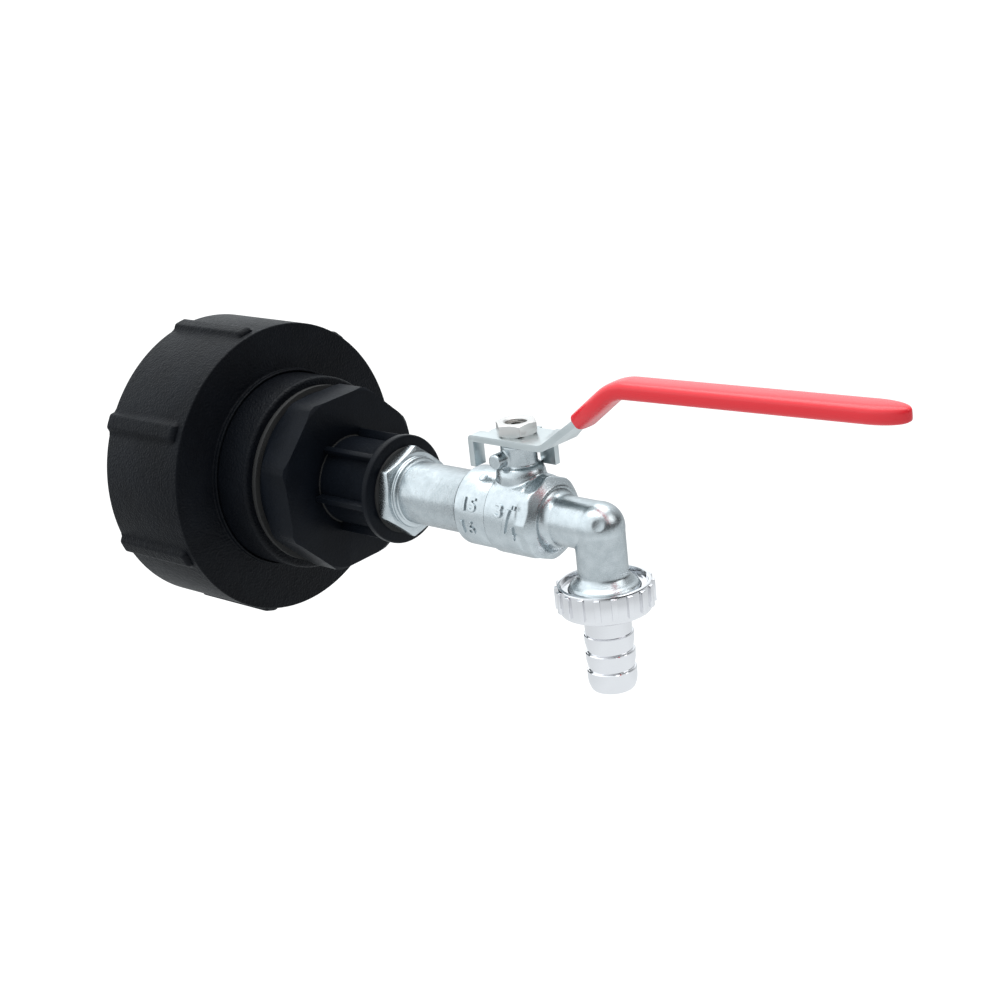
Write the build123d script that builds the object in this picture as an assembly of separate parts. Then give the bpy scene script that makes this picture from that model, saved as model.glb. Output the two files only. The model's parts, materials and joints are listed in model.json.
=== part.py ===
from build123d import *
import os
from math import atan2, cos, pi, radians, sin, sqrt, tan

# Tank outlet adapter with a lever ball valve and a hose tail, in millimetres.
# The origin is on the valve's axis, in the open mouth of the coupling cap.
# +X runs from the tank along the valve and +Z runs up the lever's stem.

# Plays and overruns that several pieces share
overrun = 5.0
flat_play = 0.2
turn_play = 0.3
thread_play = 0.15
bearing_play = 0.05
hexagon_sides = 6

# Coupling cap
cap_thread_radius = 47.5
cap_wall = 12.0
cap_length = 44.5
cap_front_wall = 6.0
cap_relief_depth = 1.5
cap_thread_runout = 1.3
cap_edge_round = 1.0
cap_lip_width = 1.1
cap_lip_height = 1.8
cap_lip_round = 0.5
grip_rib_count = 7
grip_rib_turn = 9.3
grip_rib_crown_width = 5.6
grip_rib_draft = 2.6
grip_rib_height = 2.0
grip_rib_sink = 1.5
grip_rib_setback = 3.2
grip_rib_end_round = 2.2
grip_rib_crown_round = 0.8

# Flat rubber gasket against the tank's outlet
tank_gasket_thickness = 4.0
tank_gasket_inset = 0.5
tank_gasket_width = 10.0

# Flanged nozzle that the cap pulls on to the tank
nozzle_thread_radius = 30.1
nozzle_wall = 9.3
nozzle_reach = 18.1
nozzle_lip_round = 1.5
nozzle_flange_inset = 1.0
nozzle_flange_thickness = 5.0
nozzle_mouth_step = 3.9
nozzle_mouth_depth = 6.0

# Eight-sided adapter screwed into the nozzle
adapter_seal_thickness = 2.0
adapter_seal_overhang = 2.0
adapter_collar_step = 3.9
adapter_collar_length = 3.3
adapter_sides = 8
adapter_flats = 69.4
adapter_corner_rise = 2.3
adapter_thickness = 14.1
adapter_edge_chamfer = 1.2
adapter_turn = 24.5
adapter_shank_length = 18.0
adapter_shank_wall = 5.95
adapter_floor = 6.0

# Ribbed bush screwed into the adapter
bush_thread_radius = 13.4
bush_wall = 4.0
bush_step = 0.9
bush_neck_length = 28.0
bush_shank_length = 12.0
bush_waterway_radius = 9.5
bush_thread_runout = 2.5
bush_rib_count = 6
bush_rib_thickness = 2.4
bush_rib_height = 3.4
bush_rib_sink = 1.5
bush_rib_setback = 1.5
bush_rib_chamfer = 0.6
bush_rib_turn = 36.0
bush_flange_overhang = 2.0
bush_flange_corner_rise = 2.2
bush_flange_thickness = 2.2
bush_flange_chamfer = 0.5
bush_ring_section = 0.85

# Metal inlet end with its hexagon and the inlet half of the barrel
inlet_seal_thickness = 1.0
inlet_seal_width = 3.6
inlet_hex_flats = 31.3
inlet_hex_corner_rise = 2.25
inlet_hex_chamfer = 0.5
inlet_hex_thickness = 5.0
inlet_hex_turn = 350.0
inlet_thread_length = 12.5
inlet_thread_chamfer = 0.8
inlet_bore_radius = 7.8
inlet_collar_step = 1.7
inlet_collar_length = 1.6
inlet_collar_chamfer = 0.6
tube_radius = 12.2
tube_length = 33.3
inlet_barrel_length = 16.0
inlet_barrel_round = 1.3
tube_root_round = 0.8
barrel_stud_radius = 1.8
barrel_stud_rise = 0.5
barrel_stud_sink = 1.0
barrel_stud_round = 0.3
barrel_stud_distance = 13.4
barrel_stud_turn = 24.5

# Ball and its seats
ball_radius = 9.0
ball_bore_radius = 5.0
ball_slot_width = 3.0
ball_slot_depth = 2.4
seat_width = 3.6
seat_rim = 0.6
seat_hole_step = 0.4

# Valve body with its stem boss and its spout
shank_wall = 2.85
shank_length = 6.0
socket_wall = 2.45
body_seal_width = 1.1
body_seal_wall = 1.1
barrel_step = 0.7
barrel_chamfer = 0.4
seam_to_stem = 7.0
seat_floor_wall = 3.7
shoulder_length = 3.2
shoulder_fall = 3.5
shoulder_sides = 8
shoulder_flat_depth = 0.65
shoulder_flat_length = 4.4
boss_wall = 2.7
boss_top = 27.5
boss_foot_flare = 2.7
boss_foot_height = 4.2
boss_foot_bow_share = 0.35
boss_edge_chamfer = 0.4
lug_radius = 2.85
lug_overhang = 4.6
lug_offset = 2.45
lug_drop = 4.9
lug_edge_round = 0.5
spout_bore_radius = 6.5
spout_wall = 2.85
spout_distance = 35.3
spout_elbow_swell = 0.3
spout_root_round = 1.2
spout_crotch_round = 2.0
spout_crotch_share = 0.35
spout_thread_radius = 13.2
spout_thread_length = 3.2
spout_end_drop = 25.0
flare_step = 0.3
flare_length = 3.5
dimple_radius = 2.75
dimple_depth = 0.6
dimple_yaw = 308.5
dimple_pitch = 22.0

# Stem and the pieces round it
stem_radius = 4.0
stem_collar_step = 1.4
stem_collar_thickness = 2.1
stem_flat_depth = 1.0
stem_end_sink = 1.2
stem_end_chamfer = 0.5
stem_socket_radius = 1.9
stem_socket_depth = 1.2
tongue_play = 0.1
thrust_thickness = 1.0
ring_section = 0.6
ring_groove_width = 1.6
ring_drop = 6.9
ring_pitch = 3.8

# Lever: plate on the stem, two legs, rising arm
strip_thickness = 2.5
plate_lift = 1.2
plate_corner_reach = 1.9
near_leg_gap = 2.3
near_leg_width = 5.7
near_leg_foot_gap = 3.1
far_leg_gap = 0.3
far_leg_start = 4.0
far_leg_width = 7.1
far_leg_foot_gap = 2.1
leg_bend_round = 1.8
arm_half_width = 4.3
arm_taper_length = 12.0
arm_foot_distance = 19.5
arm_foot_angle = 38.5
arm_foot_bend_radius = 6.0
arm_rise_run = 30.5
arm_top_angle = 2.05
arm_top_bend_radius = 18.0
arm_top_run = 112.0

# Dipped grip over the arm
grip_side_wall = 1.7
grip_cover = 1.25
grip_round = 1.9
grip_foot_setback = 12.5
grip_tip_length = 14.0
grip_end_wall = 3.7
grip_skin_play = 0.05

# Nut on the stem
nut_flats = 14.0
nut_corner_rise = 0.8
nut_height = 4.6
nut_chamfer = 0.5
nut_turn = 19.8
nut_thread_play = 0.1

# Union nut, tail gasket and hose tail
union_wall = 3.9
union_height = 11.3
union_floor = 2.5
union_mouth_chamfer = 2.4
union_edge_round = 1.0
union_rib_count = 18
union_rib_width = 2.5
union_rib_height = 1.0
union_rib_setback = 0.7
union_rib_chamfer = 0.6
tail_gasket_thickness = 2.0
tail_flange_inset = 1.1
tail_flange_thickness = 2.3
tail_bore_radius = 6.5
tail_wall = 2.2
tail_collar_length = 8.4
tooth_count = 3
tooth_rise = 0.55
tooth_fall = 0.3
tooth_pitch = 7.05
land_rise = 0.5
land_length = 3.0
tail_nose_length = 5.2
tail_end_round = 1.4

# Cap, gasket and nozzle, worked out from the sizes above
cap_radius = cap_thread_radius + cap_wall
cap_relief_radius = cap_thread_radius + cap_relief_depth
cap_seat = cap_length - cap_front_wall
nozzle_radius = nozzle_thread_radius + nozzle_wall
nozzle_hole_radius = nozzle_radius + turn_play
nozzle_flange_radius = cap_thread_radius - nozzle_flange_inset
nozzle_mouth_radius = nozzle_thread_radius + nozzle_mouth_step
nozzle_shoulder = cap_seat - flat_play
nozzle_back = nozzle_shoulder - nozzle_flange_thickness
nozzle_front = cap_length + nozzle_reach
tank_gasket_back = nozzle_back - tank_gasket_thickness
tank_gasket_radius = nozzle_flange_radius - tank_gasket_inset
cap_thread_length = tank_gasket_back - cap_thread_runout

# Adapter and bush
collar_back = nozzle_front + adapter_seal_thickness
adapter_back = collar_back + adapter_collar_length
adapter_front = adapter_back + adapter_thickness
adapter_collar_radius = nozzle_thread_radius + adapter_collar_step
adapter_seal_radius = adapter_collar_radius + adapter_seal_overhang
adapter_corner_radius = adapter_flats / 2 + adapter_corner_rise
bush_radius = bush_thread_radius + bush_wall
adapter_thread_radius = bush_radius - bush_step
bush_ring_seat_radius = adapter_thread_radius + 2 * bush_ring_section
bush_rib_reach = bush_radius + bush_rib_height
bush_flange_flats = 2 * (bush_radius + bush_flange_overhang)
bush_flange_corner_radius = bush_flange_flats / 2 + bush_flange_corner_rise
bush_flange_back = adapter_front + bush_neck_length
bush_flange_front = bush_flange_back + bush_flange_thickness

# Ball, inlet end and barrel
seat_radius = ball_radius + seat_rim
seat_hole_radius = ball_bore_radius + seat_hole_step
seat_inner = sqrt(ball_radius**2 - ball_bore_radius**2) - seat_width / 2
seat_outer = seat_inner + seat_width
cavity_radius = seat_radius + thread_play
shank_radius = cavity_radius + shank_wall
socket_radius = shank_radius + thread_play
inlet_barrel_radius = socket_radius + socket_wall
barrel_radius = inlet_barrel_radius + barrel_step
hexagon_back = bush_flange_front + inlet_seal_thickness
hexagon_front = hexagon_back + inlet_hex_thickness
inlet_hex_corner_radius = inlet_hex_flats / 2 + inlet_hex_corner_rise
inlet_collar_radius = tube_radius + inlet_collar_step
inlet_barrel_back = hexagon_front + tube_length
seam = inlet_barrel_back + inlet_barrel_length
stem_place = seam + seam_to_stem
barrel_front = stem_place + seat_outer + seat_floor_wall
shoulder_radius = barrel_radius - shoulder_fall
shoulder_flats = 2 * (barrel_radius - shoulder_flat_depth)
spout_place = stem_place + spout_distance
spout_radius = spout_bore_radius + spout_wall
spout_elbow_radius = spout_radius + spout_elbow_swell
flare_low = spout_end_drop - spout_thread_length
flare_radius = spout_thread_radius - flare_step

# Heights along the stem and across the lever
boss_radius = stem_radius + boss_wall
boss_foot_radius = boss_radius + boss_foot_flare
stem_collar_radius = stem_radius + stem_collar_step
stem_collar_low = ball_radius + flat_play
stem_collar_high = stem_collar_low + stem_collar_thickness
thrust_low = stem_collar_high + bearing_play
thrust_high = thrust_low + thrust_thickness
pocket_radius = stem_collar_radius + flat_play
ring_groove_radius = stem_radius - 2 * ring_section
ring_second_height = boss_top - ring_drop
ring_first_height = ring_second_height - ring_pitch
lug_height = boss_top - lug_drop
lug_reach = boss_radius + lug_overhang
plate_underside = boss_top + plate_lift
plate_top = plate_underside + strip_thickness
plate_middle = plate_underside + strip_thickness / 2
nut_top = plate_top + nut_height
nut_bore_radius = stem_radius + nut_thread_play
nut_corner_radius = nut_flats / 2 + nut_corner_rise
stem_end_height = nut_top - stem_end_sink
stem_waist = 2 * (stem_radius - stem_flat_depth)
near_leg_distance = lug_reach + near_leg_gap
far_leg_distance = boss_radius + far_leg_gap
plate_half_width = far_leg_distance + strip_thickness
plate_round_radius = plate_half_width + plate_corner_reach
grip_width = 2 * (arm_half_width + grip_side_wall)
grip_thickness = strip_thickness + 2 * grip_cover

# Heights under the spout
union_thread_radius = spout_thread_radius + turn_play
union_radius = union_thread_radius + union_wall
union_rib_radius = union_radius + union_rib_height
union_mouth_radius = union_thread_radius + union_mouth_chamfer
tail_gasket_low = -spout_end_drop - tail_gasket_thickness
tail_flange_low = tail_gasket_low - tail_flange_thickness
tail_flange_radius = union_thread_radius - tail_flange_inset
union_floor_top = tail_flange_low - flat_play
union_bottom = union_floor_top - union_floor
union_top = union_bottom + union_height
tail_collar_radius = tail_bore_radius + tail_wall
tail_neck_radius = tail_collar_radius + turn_play
tooth_radius = tail_collar_radius + tooth_rise
tooth_root_radius = tail_collar_radius - tooth_fall
land_radius = tail_collar_radius + land_rise
first_tooth = union_bottom - tail_collar_length


def turned_x(profile):
    """Turned solid about the valve's axis from (place, radius) pairs."""
    return revolve(make_face(Polyline(*profile, close=True)), axis=Axis.X)


def turned_z(profile, place):
    """Turned solid about an upright axis at place from (radius, height) pairs."""
    section = Plane.XZ * make_face(Polyline(*profile, close=True))
    return Pos(place, 0, 0) * revolve(section, axis=Axis.Z)


def ring_x(back, front, inner, outer):
    """Plain ring about the valve's axis."""
    return turned_x([(back, inner), (front, inner), (front, outer), (back, outer)])


def rod_x(back, front, radius):
    """Plain round bar along the valve's axis."""
    return ring_x(back, front, 0, radius)


def ring_z(low, high, inner, outer, place):
    """Plain ring about an upright axis."""
    return turned_z([(inner, low), (outer, low), (outer, high), (inner, high)], place)


def rod_z(low, high, radius, place):
    """Plain round bar along an upright axis."""
    return ring_z(low, high, 0, radius, place)


def prism_x(sides, flats, back, front, turn):
    """Prism along the valve's axis; a corner stands at turn from the top, near side first."""
    outline = RegularPolygon(flats / 2, sides, major_radius=False)
    corner = outline.vertices().sort_by(Axis.X)[-1]
    lean = Vector(corner.X, corner.Y, 0).get_signed_angle(Vector(1, 0, 0))
    upright = Plane((back, 0, 0), x_dir=(0, 0, 1), z_dir=(1, 0, 0))
    return extrude(upright * Rot(0, 0, turn + lean) * outline, front - back)


def prism_z(sides, flats, low, high, turn, place):
    """Prism along an upright axis; a corner stands at turn from +X."""
    outline = RegularPolygon(flats / 2, sides, major_radius=False)
    return extrude(Pos(place, 0, low) * Rot(0, 0, turn) * outline, high - low)


def block(low, high):
    """Box between two corners."""
    size = [top - bottom for bottom, top in zip(low, high)]
    return Pos(*low) * Box(*size, align=(Align.MIN, Align.MIN, Align.MIN))


def grip_rib():
    """One raised bar on top of the cap, from the mouth to just behind the front."""
    half = grip_rib_crown_width / 2
    crown = cap_radius + grip_rib_height
    foot = cap_radius - grip_rib_sink
    section = make_face(
        Polyline(
            (-half - grip_rib_draft, foot),
            (half + grip_rib_draft, foot),
            (half, crown),
            (-half, crown),
            close=True,
        )
    )
    bar = extrude(Plane.YZ * section, cap_length - grip_rib_setback)
    front = bar.faces().sort_by(Axis.X)[-1]
    ends = [edge for edge in front.edges() if edge.length < grip_rib_crown_width]
    bar = fillet(ends, grip_rib_end_round)
    crown_face = bar.faces().sort_by(Axis.Z)[-1]
    crown_edges = [edge for edge in crown_face.edges() if edge.center().X > 0]
    return fillet(crown_edges, grip_rib_crown_round)


def coupling_cap():
    """Coupling nut: thread towards the tank, lipped hole for the nozzle in front."""
    lip_radius = nozzle_hole_radius + cap_lip_width
    lip_front = cap_length + cap_lip_height
    shell = turned_x(
        [
            (0, cap_thread_radius),
            (cap_thread_length, cap_thread_radius),
            (cap_thread_length, cap_relief_radius),
            (cap_seat, cap_relief_radius),
            (cap_seat, nozzle_hole_radius),
            (lip_front, nozzle_hole_radius),
            (lip_front, lip_radius),
            (cap_length, lip_radius),
            (cap_length, cap_radius),
            (0, cap_radius),
        ]
    )
    rims = shell.edges().filter_by(GeomType.CIRCLE).group_by(Axis.X)
    lip_edge = rims[-1].sort_by(SortBy.RADIUS)[-1]
    front_edge = rims[-2].sort_by(SortBy.RADIUS)[-1]
    shell = fillet(lip_edge, cap_lip_round)
    shell = fillet(front_edge, cap_edge_round)
    rib = grip_rib()
    for index in range(grip_rib_count):
        shell += Rot(grip_rib_turn + 360 * index / grip_rib_count, 0, 0) * rib
    return shell


def tank_gasket():
    """Flat rubber ring between the nozzle's flange and the tank's outlet."""
    hole_radius = tank_gasket_radius - tank_gasket_width
    return ring_x(tank_gasket_back, nozzle_back, hole_radius, tank_gasket_radius)


def nozzle():
    """Flanged neck that stands through the cap and takes the adapter."""
    cone = nozzle_mouth_radius - nozzle_thread_radius
    throat = nozzle_back + nozzle_mouth_depth
    solid = turned_x(
        [
            (nozzle_back, nozzle_mouth_radius),
            (throat, nozzle_mouth_radius),
            (throat + cone, nozzle_thread_radius),
            (nozzle_front, nozzle_thread_radius),
            (nozzle_front, nozzle_radius),
            (nozzle_shoulder, nozzle_radius),
            (nozzle_shoulder, nozzle_flange_radius),
            (nozzle_back, nozzle_flange_radius),
        ]
    )
    front = solid.edges().filter_by(GeomType.CIRCLE).group_by(Axis.X)[-1]
    return fillet(front.sort_by(SortBy.RADIUS)[-1], nozzle_lip_round)


def adapter_seal():
    """Flat rubber ring between the nozzle's front and the adapter's collar."""
    return ring_x(nozzle_front, collar_back, nozzle_thread_radius, adapter_seal_radius)


def octagon_adapter():
    """Eight-sided adapter: shank in the nozzle, thread for the bush in its face."""
    shank_back = collar_back - adapter_shank_length
    thread_radius = nozzle_thread_radius - thread_play
    hollow_radius = thread_radius - adapter_shank_wall
    chamfer_radius = adapter_corner_radius - adapter_edge_chamfer
    head = turned_x(
        [
            (adapter_back, 0),
            (adapter_back, chamfer_radius),
            (adapter_back + adapter_edge_chamfer, adapter_corner_radius),
            (adapter_front - adapter_edge_chamfer, adapter_corner_radius),
            (adapter_front, chamfer_radius),
            (adapter_front, 0),
        ]
    )
    head = head & prism_x(adapter_sides, adapter_flats, adapter_back, adapter_front, adapter_turn)
    shank = turned_x(
        [
            (shank_back, 0),
            (shank_back, thread_radius - adapter_edge_chamfer),
            (shank_back + adapter_edge_chamfer, thread_radius),
            (collar_back, thread_radius),
            (collar_back, adapter_collar_radius),
            (adapter_back, adapter_collar_radius),
            (adapter_back, 0),
        ]
    )
    hollow = turned_x(
        [
            (shank_back - overrun, 0),
            (shank_back - overrun, hollow_radius),
            (adapter_back - adapter_floor, hollow_radius),
            (adapter_back, adapter_thread_radius),
            (adapter_front - 2 * bush_ring_section, adapter_thread_radius),
            (adapter_front - 2 * bush_ring_section, bush_ring_seat_radius),
            (adapter_front + overrun, bush_ring_seat_radius),
            (adapter_front + overrun, 0),
        ]
    )
    return head + shank - hollow


def bush_o_ring():
    """Rubber ring round the bush, in the counterbore of the adapter's face."""
    section_radius = bush_ring_section - bearing_play
    middle = Pos(adapter_front - bush_ring_section, adapter_thread_radius + bush_ring_section)
    return revolve(middle * Circle(section_radius), axis=Axis.X)


def bush_rib():
    """One straight rib along the top of the bush's neck."""
    foot = bush_radius - bush_rib_sink
    front = bush_flange_back - bush_rib_setback
    side_view = make_face(
        Polyline(
            (adapter_front, foot),
            (front, foot),
            (front, bush_rib_reach - bush_rib_chamfer),
            (front - bush_rib_chamfer, bush_rib_reach),
            (adapter_front, bush_rib_reach),
            close=True,
        )
    )
    return extrude(Plane.XZ * side_view, bush_rib_thickness / 2, both=True)


def ribbed_bush():
    """Reducing bush: shank in the adapter, ribbed neck, six-sided flange in front."""
    shank_back = adapter_front - bush_shank_length
    thread_floor = hexagon_back - inlet_thread_length - bush_thread_runout
    thread_radius = adapter_thread_radius - thread_play
    solid = turned_x(
        [
            (shank_back, bush_waterway_radius),
            (thread_floor, bush_waterway_radius),
            (thread_floor, bush_thread_radius),
            (bush_flange_back, bush_thread_radius),
            (bush_flange_back, bush_radius),
            (adapter_front, bush_radius),
            (adapter_front, thread_radius),
            (shank_back, thread_radius),
        ]
    )
    rib = bush_rib()
    for index in range(bush_rib_count):
        solid += Rot(bush_rib_turn + 360 * index / bush_rib_count, 0, 0) * rib
    flange = turned_x(
        [
            (bush_flange_back, bush_thread_radius),
            (bush_flange_front, bush_thread_radius),
            (bush_flange_front, bush_flange_corner_radius - bush_flange_chamfer),
            (bush_flange_front - bush_flange_chamfer, bush_flange_corner_radius),
            (bush_flange_back, bush_flange_corner_radius),
        ]
    )
    faces = prism_x(hexagon_sides, bush_flange_flats, bush_flange_back, bush_flange_front, inlet_hex_turn)
    return solid + (flange & faces)


def inlet_seal():
    """Thin gasket between the bush's flange and the metal hexagon."""
    outer = bush_thread_radius + inlet_seal_width
    return ring_x(bush_flange_front, hexagon_back, bush_thread_radius, outer)


def barrel_stud():
    """Small round cast stud on the inlet half of the barrel, beside the boss."""
    low = inlet_barrel_radius - barrel_stud_sink
    high = inlet_barrel_radius + barrel_stud_rise
    stud = rod_z(low, high, barrel_stud_radius, stem_place - barrel_stud_distance)
    rim = stud.edges().filter_by(GeomType.CIRCLE).sort_by(Axis.Z)[-1]
    return Rot(barrel_stud_turn, 0, 0) * fillet(rim, barrel_stud_round)


def inlet_end():
    """Metal inlet: thread in the bush, hexagon, tube and inlet half of the barrel."""
    thread_radius = bush_thread_radius - thread_play
    thread_back = hexagon_back - inlet_thread_length
    collar_front = hexagon_front + inlet_collar_length
    socket_floor = seam - shank_length - turn_play
    nose_front = stem_place - seat_outer
    seal_pocket = socket_radius + body_seal_wall
    solid = turned_x(
        [
            (thread_back, inlet_bore_radius),
            (thread_back, thread_radius - inlet_thread_chamfer),
            (thread_back + inlet_thread_chamfer, thread_radius),
            (hexagon_front, thread_radius),
            (hexagon_front, inlet_collar_radius),
            (collar_front - inlet_collar_chamfer, inlet_collar_radius),
            (collar_front, inlet_collar_radius - inlet_collar_chamfer),
            (collar_front, tube_radius),
            (inlet_barrel_back, tube_radius),
            (inlet_barrel_back, inlet_barrel_radius),
            (seam, inlet_barrel_radius),
            (seam, seal_pocket),
            (seam - body_seal_width, seal_pocket),
            (seam - body_seal_width, socket_radius),
            (socket_floor, socket_radius),
            (socket_floor, seat_radius),
            (nose_front, seat_radius),
            (nose_front, seat_hole_radius),
            (socket_floor, seat_hole_radius),
            (inlet_barrel_back, inlet_bore_radius),
        ]
    )
    shoulder = solid.edges().filter_by(GeomType.CIRCLE).filter_by_position(
        Axis.X, inlet_barrel_back - flat_play, inlet_barrel_back + flat_play
    )
    shoulder = shoulder.sort_by(SortBy.RADIUS)
    solid = fillet(shoulder[-1], inlet_barrel_round)
    solid = fillet(shoulder[-2], tube_root_round)
    chamfer_radius = inlet_hex_corner_radius - inlet_hex_chamfer
    blank = turned_x(
        [
            (hexagon_back, inlet_bore_radius),
            (hexagon_back, chamfer_radius),
            (hexagon_back + inlet_hex_chamfer, inlet_hex_corner_radius),
            (hexagon_front - inlet_hex_chamfer, inlet_hex_corner_radius),
            (hexagon_front, chamfer_radius),
            (hexagon_front, inlet_bore_radius),
        ]
    )
    faces = prism_x(hexagon_sides, inlet_hex_flats, hexagon_back, hexagon_front, inlet_hex_turn)
    return solid + (blank & faces) + barrel_stud()


def body_seal():
    """Thin gasket ring in the joint of the barrel."""
    outer = socket_radius + body_seal_wall
    return ring_x(seam - body_seal_width, seam, socket_radius, outer)


def barrel():
    """Outlet half of the barrel with its shank and its eight wrench faces, not bored."""
    shoulder_front = barrel_front + shoulder_length
    flats_back = barrel_front - shoulder_flat_length
    drum = turned_x(
        [
            (seam, 0),
            (seam, barrel_radius - barrel_chamfer),
            (seam + barrel_chamfer, barrel_radius),
            (barrel_front, barrel_radius),
            (shoulder_front, shoulder_radius),
            (shoulder_front, 0),
        ]
    )
    faces = prism_x(shoulder_sides, shoulder_flats, flats_back, shoulder_front, 0)
    plain = rod_x(seam, flats_back, barrel_radius)
    return (drum & (plain + faces)) + rod_x(seam - shank_length, seam, shank_radius)


def stem_boss():
    """Round boss about the stem with a flared foot, not bored."""
    foot_low = barrel_radius * cos(boss_foot_radius / barrel_radius)
    foot_high = foot_low + boss_foot_height
    flare = boss_foot_radius - boss_radius
    waist = (boss_radius + flare * boss_foot_bow_share, foot_low + boss_foot_height / 2)
    outline = [
        Line((0, 0), (boss_foot_radius, 0)),
        Line((boss_foot_radius, 0), (boss_foot_radius, foot_low)),
        ThreePointArc((boss_foot_radius, foot_low), waist, (boss_radius, foot_high)),
        Line((boss_radius, foot_high), (boss_radius, boss_top - boss_edge_chamfer)),
        Line((boss_radius, boss_top - boss_edge_chamfer), (boss_radius - boss_edge_chamfer, boss_top)),
        Line((boss_radius - boss_edge_chamfer, boss_top), (0, boss_top)),
        Line((0, boss_top), (0, 0)),
    ]
    boss = Pos(stem_place, 0, 0) * revolve(Plane.XZ * make_face(outline), axis=Axis.Z)
    low = (seam, -boss_foot_radius, 0)
    high = (stem_place + boss_foot_radius, boss_foot_radius, boss_top)
    return boss & block(low, high)


def stop_lug():
    """Round lug that points to the near side from the boss."""
    section = Plane.XZ * Pos(stem_place - lug_offset, lug_height) * Circle(lug_radius)
    bar = extrude(section, lug_reach)
    end = bar.edges().filter_by(GeomType.CIRCLE).sort_by(Axis.Y)[0]
    return fillet(end, lug_edge_round)


def spout():
    """Elbow of the spout with its flare and threaded end, not bored."""
    along = rod_x(barrel_front, spout_place, spout_radius)
    corner = Pos(spout_place, 0, 0) * Sphere(spout_elbow_radius)
    down = turned_z(
        [
            (0, -spout_end_drop),
            (spout_thread_radius, -spout_end_drop),
            (spout_thread_radius, -flare_low),
            (flare_radius, -flare_low),
            (spout_radius, -flare_low + flare_length),
            (spout_radius, 0),
            (0, 0),
        ],
        spout_place,
    )
    return along + corner + down


def spout_crotch():
    """Small web that rounds the inner corner of the elbow."""
    corner = spout_place - spout_radius
    reach = spout_crotch_round
    inner = make_face(
        Polyline(
            (corner - reach, -spout_radius),
            (corner, -spout_radius - reach),
            (corner + reach, -spout_radius),
            (corner, -spout_radius + reach),
            close=True,
        )
    )
    return extrude(Plane.XZ * inner, spout_radius * spout_crotch_share, both=True)


def dimple():
    """Shallow round hollow in the near side of the elbow."""
    hollow_radius = (dimple_radius**2 + dimple_depth**2) / (2 * dimple_depth)
    distance = spout_elbow_radius + hollow_radius - dimple_depth
    level = distance * cos(radians(dimple_pitch))
    along = level * cos(radians(dimple_yaw))
    across = level * sin(radians(dimple_yaw))
    height = distance * sin(radians(dimple_pitch))
    return Pos(spout_place + along, across, height) * Sphere(hollow_radius)


def waterway():
    """Everything that is bored out of the valve body."""
    seat_floor = stem_place + seat_outer
    main = turned_x(
        [
            (seam - shank_length - overrun, 0),
            (seam - shank_length - overrun, cavity_radius),
            (seat_floor, cavity_radius),
            (seat_floor, seat_hole_radius),
            (barrel_front, spout_bore_radius),
            (spout_place, spout_bore_radius),
            (spout_place, 0),
        ]
    )
    down = rod_z(-spout_end_drop - overrun, 0, spout_bore_radius, spout_place)
    corner = Pos(spout_place, 0, 0) * Sphere(spout_bore_radius)
    stem_hole = turned_z(
        [
            (0, 0),
            (pocket_radius, 0),
            (pocket_radius, thrust_high),
            (stem_radius + bearing_play, thrust_high),
            (stem_radius + bearing_play, boss_top + overrun),
            (0, boss_top + overrun),
        ],
        stem_place,
    )
    return main + down + corner + stem_hole


def valve_body():
    """Casting: outlet half of the barrel, stem boss, lug and spout."""
    shoulder_front = barrel_front + shoulder_length
    trunk = barrel() + spout()
    roots = trunk.edges().filter_by(GeomType.CIRCLE).filter_by_position(
        Axis.X, shoulder_front - flat_play, shoulder_front + flat_play
    )
    trunk = fillet(roots.sort_by(SortBy.RADIUS)[0], spout_root_round)
    solid = trunk + stem_boss() + stop_lug() + spout_crotch()
    return solid - waterway() - dimple()


def ball():
    """Bored ball with the cross slot that the stem turns."""
    bore = rod_x(-ball_radius - overrun, ball_radius + overrun, ball_bore_radius)
    half = ball_slot_width / 2
    floor = ball_radius - ball_slot_depth
    reach = ball_radius + overrun
    slot = block((-half, -reach, floor), (half, reach, reach))
    return Pos(stem_place, 0, 0) * (Sphere(ball_radius) - bore - slot)


def seat_ring():
    """Soft seat on the spout's side of the ball, hollowed to the ball's shape."""
    bearing_radius = ball_radius + bearing_play
    hole_place = sqrt(bearing_radius**2 - seat_hole_radius**2)
    rim_radius = sqrt(bearing_radius**2 - seat_inner**2)
    middle_angle = (atan2(seat_hole_radius, hole_place) + atan2(rim_radius, seat_inner)) / 2
    outline = [
        Line((hole_place, seat_hole_radius), (seat_outer, seat_hole_radius)),
        Line((seat_outer, seat_hole_radius), (seat_outer, seat_radius)),
        Line((seat_outer, seat_radius), (seat_inner, seat_radius)),
        Line((seat_inner, seat_radius), (seat_inner, rim_radius)),
        ThreePointArc(
            (seat_inner, rim_radius),
            (bearing_radius * cos(middle_angle), bearing_radius * sin(middle_angle)),
            (hole_place, seat_hole_radius),
        ),
    ]
    return revolve(make_face(outline), axis=Axis.X)


def seat_outlet():
    """Seat on the spout's side of the ball."""
    return Pos(stem_place, 0, 0) * seat_ring()


def seat_inlet():
    """Seat on the tank's side of the ball."""
    return Pos(stem_place, 0, 0) * Rot(0, 180, 0) * seat_ring()


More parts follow.
